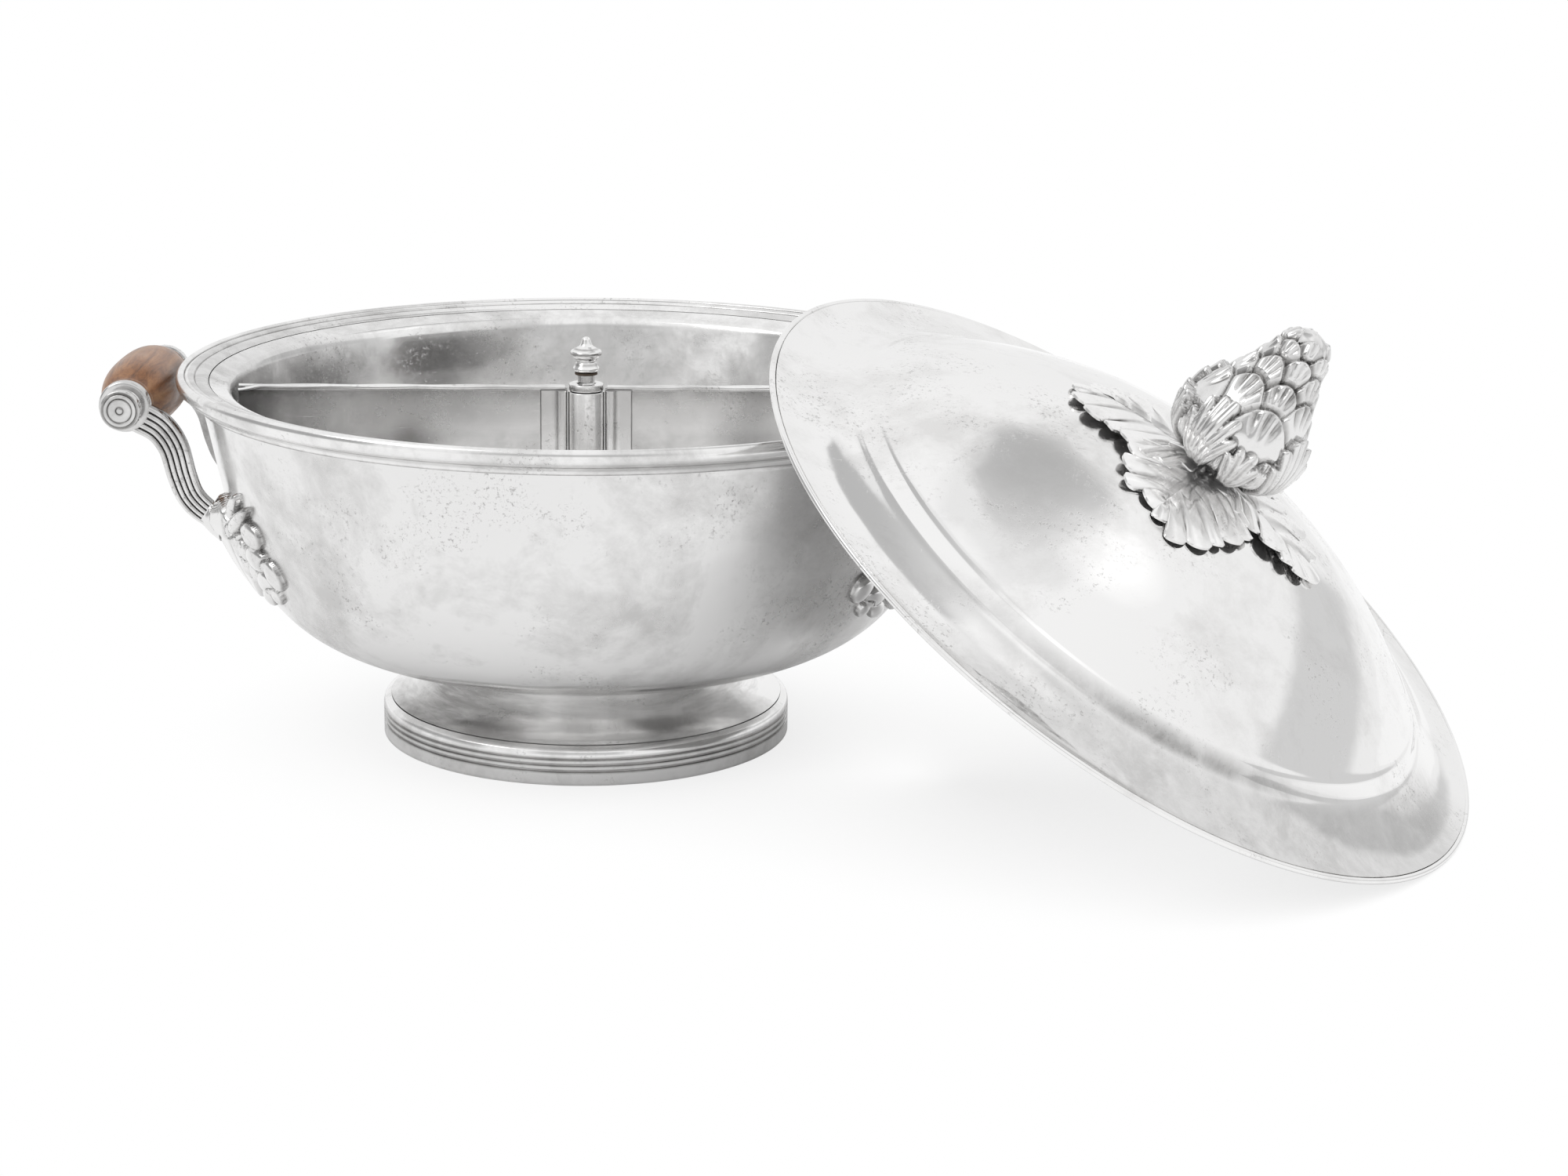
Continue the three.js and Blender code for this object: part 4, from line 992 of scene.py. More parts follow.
def make_divider():
    for side, turn, front in (("right", 0, -1), ("left", math.pi, 1)):
        place = DISH @ Matrix.Rotation(DIVIDER_TURN + turn, 4, "Z")
        make_wing(f"{side}_wing_plate", f"{side}_divider_wing", place)
        make_rail(f"{side}_rail_beads", f"{side}_divider_rail", place, front)
        make_channel(f"front_{side}_channel_strip", f"front_{side}_divider_channel", place, front)
        make_channel(f"rear_{side}_channel_strip", f"rear_{side}_divider_channel", place, -front)


# Side handles
GRIP_AXIS_RADIUS = 164.5
GRIP_AXIS_HEIGHT = 127.4
ROD_BORE = 2.25
GRIP_HALF = [
    [(8.7, 32), (9.1, 31.6), (9.3, 30.6), (9.1, 29.6)],
    [(9.1, 29.6), (8.5, 29), (8.4, 28.2), (9.3, 26), (11.4, 22), (12.8, 17), (13.6, 10), (13.8, 0)],
]
BOSS = [
    [(6.6, 37.5), (5.9, 38.6), (5.8, 39.8)],
    [(5.8, 39.8), (6.4, 40.7), (7.2, 41.3)],
    [(7.2, 41.3), (7.42, 42.2), (7.4, 43.4), (7.1, 44.2), (6.3, 44.5)],
    [(6.3, 44.5), (5.95, 44.35), (5.9, 44.2)],
    [(5.9, 44.2), (5.85, 44.8), (5.5, 45)],
    [(5.5, 45), (4.7, 44.95), (4.4, 44.7), (4.1, 44.95), (3, 44.95), (1.5, 44.85)],
    [(1.5, 44.85), (1.35, 44.6), (1.1, 44.75), (0.6, 44.9)],
]
# Spots of the boss's turned grooves, with dirt and painted shade in them, and how dark they are
BOSS_GROOVES = [(5.8, 39.8), (6.4, 44.5), (5.9, 44.2), (4.4, 44.7), (1.35, 44.6)]
BOSS_GROOVE_DARK = 0.95
BOSS_BLIND = 42.1
# Least darkness anywhere on the boss
BOSS_DARK = 0.26
EYE_RADIUS = 9.4
EYE_START = 32.3
EYE_END = 37.3
EYE_ROUND = 1.3
EYE_INNER_FACE = 1
# Painted shade on the eye's inner face, and lighter over the rest of the eye
EYE_INNER_SHADE = 0.9
EYE_SHADE = 0.2
ARM_FOOT_HEIGHT = 86.8
ARM_FOOT_INSET = 8
ARM_TOP_WIDTH = 11.7
ARM_FOOT_WIDTH = 8.6
ARM_THICK = 4.9
ARM_EDGE = 0.6
ARM_MIDDLE = EYE_START + ARM_THICK / 2
REEDS = 5
REED_DEPTH = 2.0
REED_STEPS = 8
REED_FULLNESS = 0.8
# Painted shade on the arm's inner face and in the grooves between its reeds, from a groove's top to its foot
INNER_FACE_SHADE = 0.8
REED_GROOVE_SHADE = 0.85
GROOVE_TOP = 4.75
GROOVE_FOOT = 3.4
ARM_PATH_SHARES = [
    (0.13, 0.1), (0.3, 0.2), (0.415, 0.37), (0.484, 0.63),
    (0.553, 0.81), (0.664, 0.935), (0.77, 0.985), (1, 1),
]
ARM_PATH_STEPS = 9
ARM_PATH_SUNK = 1


def make_grip(side, place):
    half = through(GRIP_HALF)
    other = [(r, -z) for r, z in half[::-1]]
    end = GRIP_HALF[0][0][1]
    grip = turned([(ROD_BORE, end), *half, *other[1:], (ROD_BORE, -end)], SMALL_SEGMENTS * 2)
    new_piece(f"{side}_wooden_grip", grip, [f"{side}_grip"], f"{side}_grip", "wood", wood, place)


def make_boss(name, node, place):
    outline = through(BOSS, 4)
    bore = [(0, BOSS_BLIND), (ROD_BORE, BOSS_BLIND), (ROD_BORE, outline[0][1])]
    boss = turned([*bore, *outline, (0, outline[-1][1])], SMALL_SEGMENTS)
    darks = grooves(boss[0], BOSS_GROOVES, TURNING_GROOVE_REACH, BOSS_GROOVE_DARK)
    dish_piece(name, boss, node, cast_silver, place, recess=[max(dark, BOSS_DARK) for dark in darks])


def arm_section(width):
    """Outline of an arm's strap: plain inside, five round reeds outside."""
    half = width / 2
    section = [(-half, ARM_EDGE), (-half + ARM_EDGE, 0), (half - ARM_EDGE, 0), (half, ARM_EDGE)]
    reed = half / REEDS
    for k in range(REEDS):
        centre = half - reed * (2 * k + 1)
        for i in range(REED_STEPS + 1):
            angle = math.pi * i / REED_STEPS
            if k and not i:
                continue
            out = ARM_THICK - REED_DEPTH * (1 - math.sin(angle) ** REED_FULLNESS)
            section.append((centre + reed * math.cos(angle), out))
    return section


def arm_path():
    """Points of the arm's middle line, with the way across it: x, z, across x, across z."""
    foot_radius = bowl_at(ARM_FOOT_HEIGHT)[0] - ARM_FOOT_INSET
    path = spline([
        (lerp(GRIP_AXIS_RADIUS, foot_radius, inward), lerp(GRIP_AXIS_HEIGHT, ARM_FOOT_HEIGHT, down))
        for inward, down in ARM_PATH_SHARES
    ], ARM_PATH_STEPS)
    while path[-2][0] < bowl_at(path[-2][1])[0] - ARM_PATH_SUNK:
        path.pop()
    return [(x, z, *(-way for way in across(path, i))) for i, (x, z) in enumerate(path)]


def make_arm(name, node, place, end):
    path = arm_path()
    sections = []
    recess = []
    for i, (x, z, across_x, across_z) in enumerate(path):
        width = lerp(ARM_TOP_WIDTH, ARM_FOOT_WIDTH, i / (len(path) - 1))
        section = arm_section(width)
        sections.append([(x + across_x * a, end * (EYE_START + out), z + across_z * a) for a, out in section])
        for _, out in section:
            # Painted shade in the reed grooves and on the inner face
            groove = REED_GROOVE_SHADE * smoothstep(GROOVE_TOP, GROOVE_FOOT, out)
            recess.append(INNER_FACE_SHADE if out < 1 else groove)
    ring = [(ROD_BORE, EYE_START), (EYE_RADIUS, EYE_START), (EYE_RADIUS, EYE_END), (ROD_BORE, EYE_END)]
    vertices, faces = turned(rounded(ring, EYE_ROUND, 5), SMALL_SEGMENTS)
    eye = [(GRIP_AXIS_RADIUS + x, end * out, GRIP_AXIS_HEIGHT + z) for x, z, out in vertices], faces
    recess += [EYE_INNER_SHADE if out < EYE_START + EYE_INNER_FACE else EYE_SHADE for x, z, out in vertices]
    dish_piece(name, merged(swept(sections), eye), node, cast_silver, place, sharp=50, recess=recess)


# Leaf mount under each arm, drawn over the bowl: u runs round it from the arm's foot, z is the height
LEAF_ANGLE = math.asin(ARM_MIDDLE / bowl_at(ARM_FOOT_HEIGHT)[0]) + math.radians(1.8)
LEAF_LOW = 57
LEAF_HIGH = 105
LEAF_INNER = 22
LEAF_OUTER = 49
LEAF_INNER_SHARE = 0.5
LEAF_INNER_DROP = 6
LEAF_INNER_EASE = -8
LEAF_UNDER = -0.9
LEAF_ROWS = 110
LEAF_COLUMNS = 170

# Lift of the leaf's spine, its half width, and its vein, by height
LEAF_CREST = [
    (58.3, 0), (59.5, 2.2), (61, 3.2), (66.2, 3.9), (72.6, 5), (80.6, 6.1),
    (84, 7.4), (88, 8.6), (92, 7), (95, 4), (97, 2),
]
LEAF_BODY = [(58, 0), (60, 8), (64, 14), (70, 18.5), (78, 20.5), (86, 19), (91, 14), (94, 9), (97, 0)]
LEAF_SIDE_LIFT = 2.6
LEAF_SIDE_AT = 19
LEAF_EDGE = 2.2
VEIN_START = (6, 58)
VEIN_LEAN = 0.12
VEIN_WIDTH = 0.8
VEIN_DEPTH = 0.5
# Painted shade in the vein
VEIN_DARK = 0.35
LEAF_FULLNESS = 0.8

# Lobes: distance round, height, half length and width, tilt and lift; the petals show on the outer side alone
LEAF_LOBES = [
    (33.3, 88.6, 8.4, 5.5, 0, 3.4), (31, 79.4, 10, 4.9, 4, 3.6), (42, 75.6, 5.6, 5.8, 30, 3.2),
    (30.4, 70.4, 7.6, 4.6, 16, 3.4), (14.6, 81.7, 3, 4.6, 0, 4.4), (20, 80.4, 2.8, 4.4, 0, 3.6),
    (22.6, 72.6, 3.6, 4.2, 10, 3.2), (16.4, 73.6, 2.8, 3.6, 0, 4.2), (22.6, 63.6, 7, 3.4, 26, 2.8),
    (34.6, 66.4, 3.8, 3.2, 40, 2.6),
]
LEAF_PETALS = [(23.3, 91.6, 17, 2.7, 26.6, 4.8), (22.4, 96.4, 9, 2.7, 42, 4.2)]
LOBE_EDGE = 0.8
LOBE_GROOVE = 0.16
LOBE_GROOVE_DEPTH = 1.6
# Painted shade at the lobes' edges and in the grooves round them
LOBE_GROOVE_DARK = 0.85
LOBE_GROOVE_CATCH = 1.2
LOBE_LEAST = 0.3

# Neck that swells from the arm into the leaf: half thickness and half height at its start and end
NECK_START = 0.84
NECK_STEPS = 16
NECK_SIDES = 40
NECK_THICK = (2.7, 8.4)
NECK_TALL = (4.45, 7.8)
NECK_DROP = 1.4
NECK_SQUARE = 0.85
NECK_THICK_POWER = 1.7
NECK_TALL_POWER = 1.5


def leaf_lift(u, z, petals):
    """How far the leaf stands off the bowl, below its underside where there is none, and its painted shade in
    the vein, at lobe edges and in grooves.
    """
    best = LEAF_UNDER - 1
    dark = 0
    wide = table_at(LEAF_BODY, z)
    if u < wide:
        crest = table_at(LEAF_CREST, z)
        vein = bell(u - VEIN_START[0] - (z - VEIN_START[1]) * VEIN_LEAN, VEIN_WIDTH)
        out = min(1, u / LEAF_SIDE_AT) ** LEAF_FULLNESS
        best = lerp(crest, min(crest, LEAF_SIDE_LIFT), out) - VEIN_DEPTH * vein
        best *= dome(max(0, 1 - (wide - u) / LEAF_EDGE))
        dark = VEIN_DARK * vein
    for middle, height, half, tall, tilt, top in LEAF_LOBES + petals:
        turn = math.radians(tilt)
        a, b = u - middle, z - height
        along_lobe = (a * math.cos(turn) + b * math.sin(turn)) / half
        over_lobe = (b * math.cos(turn) - a * math.sin(turn)) / tall
        reach = math.hypot(along_lobe, over_lobe)
        if reach < 1:
            lift = top * dome(reach) ** LEAF_FULLNESS
            if lift > best:
                best = lift
                dark = LOBE_GROOVE_DARK * smoothstep(LOBE_EDGE, 1, reach)
        elif reach < 1 + LOBE_GROOVE and 0 < best < top + LOBE_GROOVE_CATCH:
            groove = 1 - (reach - 1) / LOBE_GROOVE
            best = max(LOBE_LEAST, best - LOBE_GROOVE_DEPTH * groove)
            dark = max(dark, LOBE_GROOVE_DARK * groove)
    return best, dark


def squared(share):
    """A sine or cosine drawn out towards a square."""
    return math.copysign(abs(share) ** NECK_SQUARE, share)


def leaf_neck(end):
    columns = list(zip(*arm_path()))
    sections = []
    for step in range(NECK_STEPS + 1):
        grown = step / NECK_STEPS
        x, z, across_x, across_z = (along(column, lerp(NECK_START, 1, grown)) for column in columns)
        thick = lerp(*NECK_THICK, grown**NECK_THICK_POWER)
        tall = lerp(*NECK_TALL, grown**NECK_TALL_POWER)
        drop = NECK_DROP * grown**NECK_TALL_POWER
        ring = []
        for i in range(NECK_SIDES):
            angle = TURN * i / NECK_SIDES
            y = ARM_MIDDLE + thick * squared(math.cos(angle))
            a = tall * squared(math.sin(angle))
            ring.append((x + across_x * a, end * y, z - drop + across_z * a))
        sections.append(ring)
    return swept(sections)


def make_leaf(name, node, place, end):
    def spot(row, column):
        return lerp(-LEAF_INNER, LEAF_OUTER, column), lerp(LEAF_LOW, LEAF_HIGH, row)

    def lift_at(row, column):
        u, z = spot(row, column)
        if u > 0:
            return leaf_lift(u, z, LEAF_PETALS)
        return leaf_lift(-u / LEAF_INNER_SHARE, z + LEAF_INNER_DROP * smoothstep(0, LEAF_INNER_EASE, u), [])

    def on_bowl(row, column, lift):
        u, z = spot(row, column)
        radius, slope = bowl_at(z)
        lean = math.hypot(1, slope)
        angle = LEAF_ANGLE + u / radius
        reach = radius + lift / lean
        return reach * math.cos(angle), end * reach * math.sin(angle), z - slope * lift / lean

    skin, recess = relief(LEAF_ROWS, LEAF_COLUMNS, lift_at, on_bowl, LEAF_UNDER)
    leaf = merged(skin, leaf_neck(end))
    recess += [0] * (len(leaf[0]) - len(recess))
    dish_piece(name, leaf, node, cast_silver, place, slot="cast_silver", sharp=70, recess=recess)


def make_handles():
    for side, turn in (("right", 0), ("left", math.pi)):
        place = DISH @ Matrix.Rotation(turn, 4, "Z")
        axle = place @ Matrix.Translation((GRIP_AXIS_RADIUS * MM, 0, GRIP_AXIS_HEIGHT * MM))
        make_grip(side, axle @ Matrix.Rotation(-TURN / 4, 4, "X"))
        for end in (-1, 1):
            where = "front" if (end < 0) == (side == "right") else "rear"
            corner = f"{side}_{where}"
            outward = axle @ Matrix.Rotation(-end * TURN / 4, 4, "X")
            make_boss(f"{corner}_boss_cap", f"{corner}_handle_boss", outward)
            make_arm(f"{corner}_reeded_arm", f"{corner}_handle_arm", place, end)
            make_leaf(f"{corner}_acanthus", f"{corner}_leaf_mount", place, end)


# Cover
COVER_SHEET = 1.5
RIM_WIRE = 2
WIRE_OVERLAP = 0.05
WIRE_ROUND = 0.8
CREASE_RADIUS = 115.6
CREASE_HEIGHT = 9.2
DOME_HEIGHT = 47
CROWN_RADIUS = 12
CROWN_RING = 6
BRIM_POWER = 1.6
BRIM_DISH = 1.2
STUD_BORE = 2.7
BEZEL_RADIUS = 130.2
BEZEL_THICK = 1.3
BEZEL_DROP = 0.9
BEZEL_ROUND = 0.3
DOME_STEPS = 60
BRIM_STEPS = 30
DOME_SPREAD = 0.8
BRIM_SPREAD = 1.2
CREASE_MARGIN = 4

# Raised shoulder and sunk valley at the crease: lift, radius and half width
SHOULDER = (0.5, 113.4, 1.5)
VALLEY = (-0.5, 117.4, 1.7)

# Tarnish in the crease and on the brim, by azimuth and radius, and painted shade on the inside
CREASE_STAIN = 0.75
CREASE_STAIN_WIDTH = 3.4
CREASE_STAIN_AZIMUTH = -62
CREASE_STAIN_SPAN = 30
BRIM_STAIN = 0.36
BRIM_STAIN_START = (-104, -84)
BRIM_STAIN_END = (25, -5)
BRIM_WORN = 123
INSIDE_SHADE = 0.45


def cover_top(radius):
    """Height of the cover's outer face above its edge plane."""
    step = sum(lift * bell(radius - middle, wide) for lift, middle, wide in (SHOULDER, VALLEY))
    return cover_form(radius) + step


def cover_form(radius):
    if radius < CREASE_RADIUS:
        out = max(0, radius - CROWN_RADIUS) / (CREASE_RADIUS - CROWN_RADIUS)
        return CREASE_HEIGHT + (DOME_HEIGHT - CREASE_HEIGHT) * (1 - out**2)
    edge = COVER_RADIUS - RIM_WIRE - GAP
    share = min(1, max(0, (edge - radius) / (edge - CREASE_RADIUS)))
    return CREASE_HEIGHT * share**BRIM_POWER - BRIM_DISH * math.sin(math.pi * share)


def cover_dark(x, y, z):
    radius = math.hypot(x, y)
    # The inside is darkened as painted shade
    if z <= cover_top(radius) - COVER_SHEET / 2:
        return INSIDE_SHADE
    azimuth = math.degrees(math.atan2(y, x))
    crease = bell(radius - VALLEY[1], CREASE_STAIN_WIDTH)
    crease *= bell(azimuth - CREASE_STAIN_AZIMUTH, CREASE_STAIN_SPAN)
    brim = smoothstep(*BRIM_STAIN_START, azimuth) * smoothstep(*BRIM_STAIN_END, azimuth)
    return max(CREASE_STAIN * crease, BRIM_STAIN * brim * smoothstep(CREASE_RADIUS, BRIM_WORN, radius))


def make_cover():
    inner = COVER_RADIUS - RIM_WIRE
    edge = inner - WIRE_OVERLAP
    radii = [STUD_BORE, CROWN_RING, CROWN_RADIUS]
    for i in range(1, DOME_STEPS + 1):
        radii.append(lerp(CROWN_RADIUS, CREASE_RADIUS, (i / DOME_STEPS) ** DOME_SPREAD))
    for i in range(1, BRIM_STEPS + 1):
        radii.append(lerp(CREASE_RADIUS, edge, (i / BRIM_STEPS) ** BRIM_SPREAD))
    crease = SHOULDER[1] - CREASE_MARGIN, VALLEY[1] + CREASE_MARGIN
    radii += [lerp(*crease, i / BRIM_STEPS) for i in range(BRIM_STEPS + 1)]
    radii.sort()
    outside = [(r, cover_top(r)) for r in radii]
    inside = [(r, z - COVER_SHEET) for r, z in outside][::-1]
    shell = turned(outside + inside)
    recess = [cover_dark(*point) for point in shell[0]]
    cover_piece("cover_dome", shell, "cover_shell", cover_silver, "bright_silver", sharp=30, recess=recess)
    wire = [(inner, -COVER_EDGE), (COVER_RADIUS, -COVER_EDGE), (COVER_RADIUS, 0), (inner, 0)]
    wire = turned(rounded(wire, WIRE_ROUND, 5))
    cover_piece("cover_edge_wire", wire, "cover_rim_wire", cover_silver, "bright_silver")
    inner = BEZEL_RADIUS - BEZEL_THICK
    top = cover_top(BEZEL_RADIUS) - COVER_SHEET
    low = top - GAP - BEZEL_DROP
    ring = [(inner, low), (BEZEL_RADIUS, low), (BEZEL_RADIUS, top), (inner, top)]
    cover_piece("cover_bezel_ring", turned(rounded(ring, BEZEL_ROUND)), "cover_bezel", trim_silver, "silver")


# Stem under the finial
STEM = [(2.7, 47.3), (9, 47.3), (7.5, 48.4), (6.1, 49.6), (5.4, 50.8), (5.2, 51.7), (2.7, 51.7)]
STEM_ROUND = 0.4

# Four leaves round the stem. A leaf is drawn along f, out from the stem, and w, across it.
# Each tip has its f and w, and the place on the midrib that it fans from.
LEAF_ROOT = (3, 3.6)
LEAF_TIPS = [
    [(11, 13, 4), (19, 17, 7), (27, 18.5, 13), (37, 16.5, 21), (46, 10, 31), (53, -1.5, 40), (49, -10, 35),
     (43, -13.5, 28), (36, -15.5, 21), (27, -18, 14), (18, -17.5, 8), (11, -13.5, 4)],
    [(12, 13, 4), (20, 20, 7), (28, 23, 11), (36, 22, 17), (43, 18, 26), (50, 11, 35), (54, 2, 42),
     (49, -8, 38), (44, -15, 31), (36, -20, 22), (27, -22, 15), (18, -20, 8), (11, -14, 4)],
    [(8.5, 17, 3), (11.5, 26, 5), (18.5, 30, 8), (26, 28.5, 12), (34, 26.5, 18), (42.5, 24.5, 26),
     (50.5, 17.5, 34), (55, 8, 42), (51, -1, 40), (45, -8, 34), (38, -14, 26), (29, -18, 17), (20, -18, 10),
     (11, -13, 4)],
    [(10, 15, 4), (18, 24, 6), (25, 28, 10), (32.5, 26.5, 15), (40, 23.5, 22), (47.5, 20.5, 30),
     (54, 13.5, 38), (51.5, 4, 42), (47.5, -6, 40), (47, -15, 34), (39.5, -20.5, 24), (30.5, -23.5, 16),
     (21.5, -22, 9), (12, -15, 4)],
]
LEAF_CURLS = [
    [0, 0.5, 1.2, 1.6, 1.2, 0.3, 0, 0.8, 1.8, 2.2, 1.6, 1, 0.4, 0],
    [0, 0.8, 1.4, 1.6, 1, 0, 0, 0, 0.5, 1, 0.6, 0.3, 0.4, 0],
    [0, 1, 2, 2.4, 2, 1.6, 1, 0.4, 0.2, 0.8, 1.2, 1, 0.6, 0],
    [0, 0.6, 1.2, 1.2, 0.6, 0, -0.6, -0.8, -0.2, 0.8, 1.8, 2.2, 1.2, 0],
]
FINGER_HALF = 4.5
FINGER_VARIES = 0.3
FINGER_CYCLE = (2.4, 1.2)
FINGER_BENDS = ((70, -0.1), (35, 0.6), (0, 1), (-35, 0.6), (-70, -0.1))
NOTCH_SHARE = 0.24
LEAF_STAND = [(0, 4.6), (6, 4.2), (12, 3.0), (25, 2.0), (40, 1.7), (50, 1.6), (56, 1.4)]
LEAF_RIDGE = 1.0
LEAF_FOLD = 0.9
LEAF_FOLD_POWER = 0.75
LEAF_SINK = 0.9
LEAF_CURL = 0.6
LEAF_LEAST = 1.3
SHEET_THICK = (1.1, 0.9)
SHEET_ROWS = 14
# Painted shade in the valleys between fingers, growing towards the tips
VALLEY_DARK = (0.45, 0.5)


def leaf_outline(tips):
    """Points round a leaf: f, w, the place on the midrib they fan from, and how ridged."""
    points = [(LEAF_ROOT[0], LEAF_ROOT[1], LEAF_ROOT[0], -1)]
    for k, (before, tip) in enumerate(zip([None, *tips], tips)):
        f, w, rib = tip
        half = FINGER_HALF * (1 + FINGER_VARIES * math.sin(FINGER_CYCLE[0] * k + FINGER_CYCLE[1]))
        if before:
            middle = [(a + b) / 2 for a, b in zip(before, tip)]
            notch = lerp(middle[0], middle[2], NOTCH_SHARE), middle[1] * (1 - NOTCH_SHARE)
            points.append((*notch, middle[2], -1))
        way = math.atan2(w, f - rib)
        centre = f - half * math.cos(way), w - half * math.sin(way)
        for bend, ridge in FINGER_BENDS:
            angle = way + math.radians(bend)
            spot = centre[0] + half * math.cos(angle), centre[1] + half * math.sin(angle)
            points.append((*spot, rib, ridge))
    points.append((LEAF_ROOT[0], -LEAF_ROOT[1], LEAF_ROOT[0], -1))
    return points


def make_mount_leaf(turn, tips, curls):
    outline = spline(leaf_outline(tips), 3)
    columns = len(outline) - 1

    def point_at(row, column, side):
        f, w, rib, ridge = outline[round(column * columns)]
        x, y = lerp(rib, f, row), w * row
        radius = math.hypot(x, y)
        finger = ridge * LEAF_RIDGE * row**2
        fold = LEAF_FOLD * math.sin(math.pi * row**LEAF_FOLD_POWER) - LEAF_SINK * (1 - row) ** 3
        curl = along(curls, column) * LEAF_CURL * row * row
        lift = max(table_at(LEAF_STAND, radius) + fold + finger + curl, LEAF_LEAST)
        if not side:
            lift -= lerp(*SHEET_THICK, row)
        angle = turn + math.atan2(y, x)
        return radius * math.cos(angle), radius * math.sin(angle), cover_top(radius) + lift

    # Painted shade in the valleys between the fingers
    darks = [0] * ((SHEET_ROWS + 1) * (columns + 1))
    for row in range(SHEET_ROWS + 1):
        dark = VALLEY_DARK[0] + VALLEY_DARK[1] * (row / SHEET_ROWS) ** 2
        darks += [max(0, -point[3]) * dark for point in outline]
    return grid_shell(SHEET_ROWS, columns, point_at), darks


def make_finial_leaves():
    stem = turned(rounded(STEM, STEM_ROUND), SMALL_SEGMENTS)
    shapes = [stem]
    recess = [0] * len(stem[0])
    for k, (tips, curls) in enumerate(zip(LEAF_TIPS, LEAF_CURLS)):
        shape, darks = make_mount_leaf(TURN * k / 4, tips, curls)
        shapes.append(shape)
        recess += darks
    cover_piece("finial_leaves", merged(*shapes), "finial_leaf_mount", leaf_silver, sharp=60, recess=recess)


# Pinecone: each lower scale lies over the two above it, and the pattern comes four times round the cone
CONE_FOOT = 52.3
CONE_PROFILE = [
    (4.8, -0.1), (11.8, 0.4), (16, 1.8), (21.3, 4.8), (23.2, 9.7), (23.5, 15.7), (22.4, 20.7), (19.5, 26.7),
    (15.6, 35.7), (12, 44.7), (10, 51.7), (6.8, 56), (3, 58), (0, 58.6),
]
CONE_ROWS = 300
CONE_COLUMNS = 360
CONE_REPEAT = 90
CONE_SINK = 1.85
CONE_SINK_EASE = (1, 5)
CONE_TIP_LIFT = 0.6
CONE_LEAST = 0.3

# Scales: azimuth of the middle, height of the top, half span in degrees, droop at the sides and length
CONE_SCALES = [
    (-65, 32, 28, 6, 16), (-65, 41.4, 26, 5, 13), (-65, 50.4, 29, 4.4, 11), (-65, 57.2, 42, 3, 9),
    (-20, 25, 14, 6, 14), (-20, 38, 26, 5.4, 14), (-20, 46.6, 27, 4.6, 12), (-20, 53.9, 34, 4, 10),
    (-42, 17, 8, 5, 10), (-57, 15.5, 8, 5, 10), (2, 17, 8, 5, 10),
]
SCALE_LIFT = 1.9
SCALE_EDGE = 1.3
SCALE_DROOP_POWER = 2.4
SCALE_REACH = 1.25
SCALE_SHADE = 2
SCALE_SHADE_DEPTH = 1.1
SCALE_SHADE_DARK = 1.3
SCALE_TAPER = 0.75
SCALE_DIP = 0.3
BARE_LIFT = 0.6
# Painted shade on the bare cone just under a scale's edge
BARE_DARK = 0.35
FLUTES = (-0.62, -0.06, 0.5)
FLUTE_WIDTH = (0.02, 0.17)
FLUTE_START = (0.3, 0.8)
FLUTE_FADE = (38, 50)
FLUTE_FAINT = 0.5
FLUTE_FAN = 0.2
FLUTE_DEPTH = 1.2
# Painted shade in the flutes
FLUTE_DARK = 0.9
FLUTE_EDGE = 0.8


def cone_curve():
    """Evenly spaced points of the cone's profile from its foot to its tip."""
    fine = spline(CONE_PROFILE, 24)
    lengths = lengths_along(fine)
    points = []
    k = 0
    for i in range(CONE_ROWS + 1):
        goal = lengths[-1] * i / CONE_ROWS
        while lengths[k + 1] < goal and k < len(fine) - 2:
            k += 1
        t = (goal - lengths[k]) / (lengths[k + 1] - lengths[k])
        points.append((lerp(fine[k][0], fine[k + 1][0], t), lerp(fine[k][1], fine[k + 1][1], t)))
    points[-1] = (0, CONE_PROFILE[-1][1])
    return points


def apart(azimuth, middle):
    """Degrees between two azimuths of the cone's repeating pattern."""
    return (azimuth - middle + CONE_REPEAT / 2) % CONE_REPEAT - CONE_REPEAT / 2


def scales_near(azimuth, height, radius):
    """Scales that span an azimuth: top, length, share of their width, edge, and how far inside a point is."""
    for middle, top, half, droop, length in CONE_SCALES:
        away = apart(azimuth, middle) / half
        if abs(away) > SCALE_REACH:
            continue
        edge = top - droop * abs(away) ** SCALE_DROOP_POWER
        steep = droop * SCALE_DROOP_POWER * abs(away) ** (SCALE_DROOP_POWER - 1)
        steep /= max(1, math.radians(half) * radius)
        yield top, length, away, edge, (edge - height) / math.hypot(1, steep)


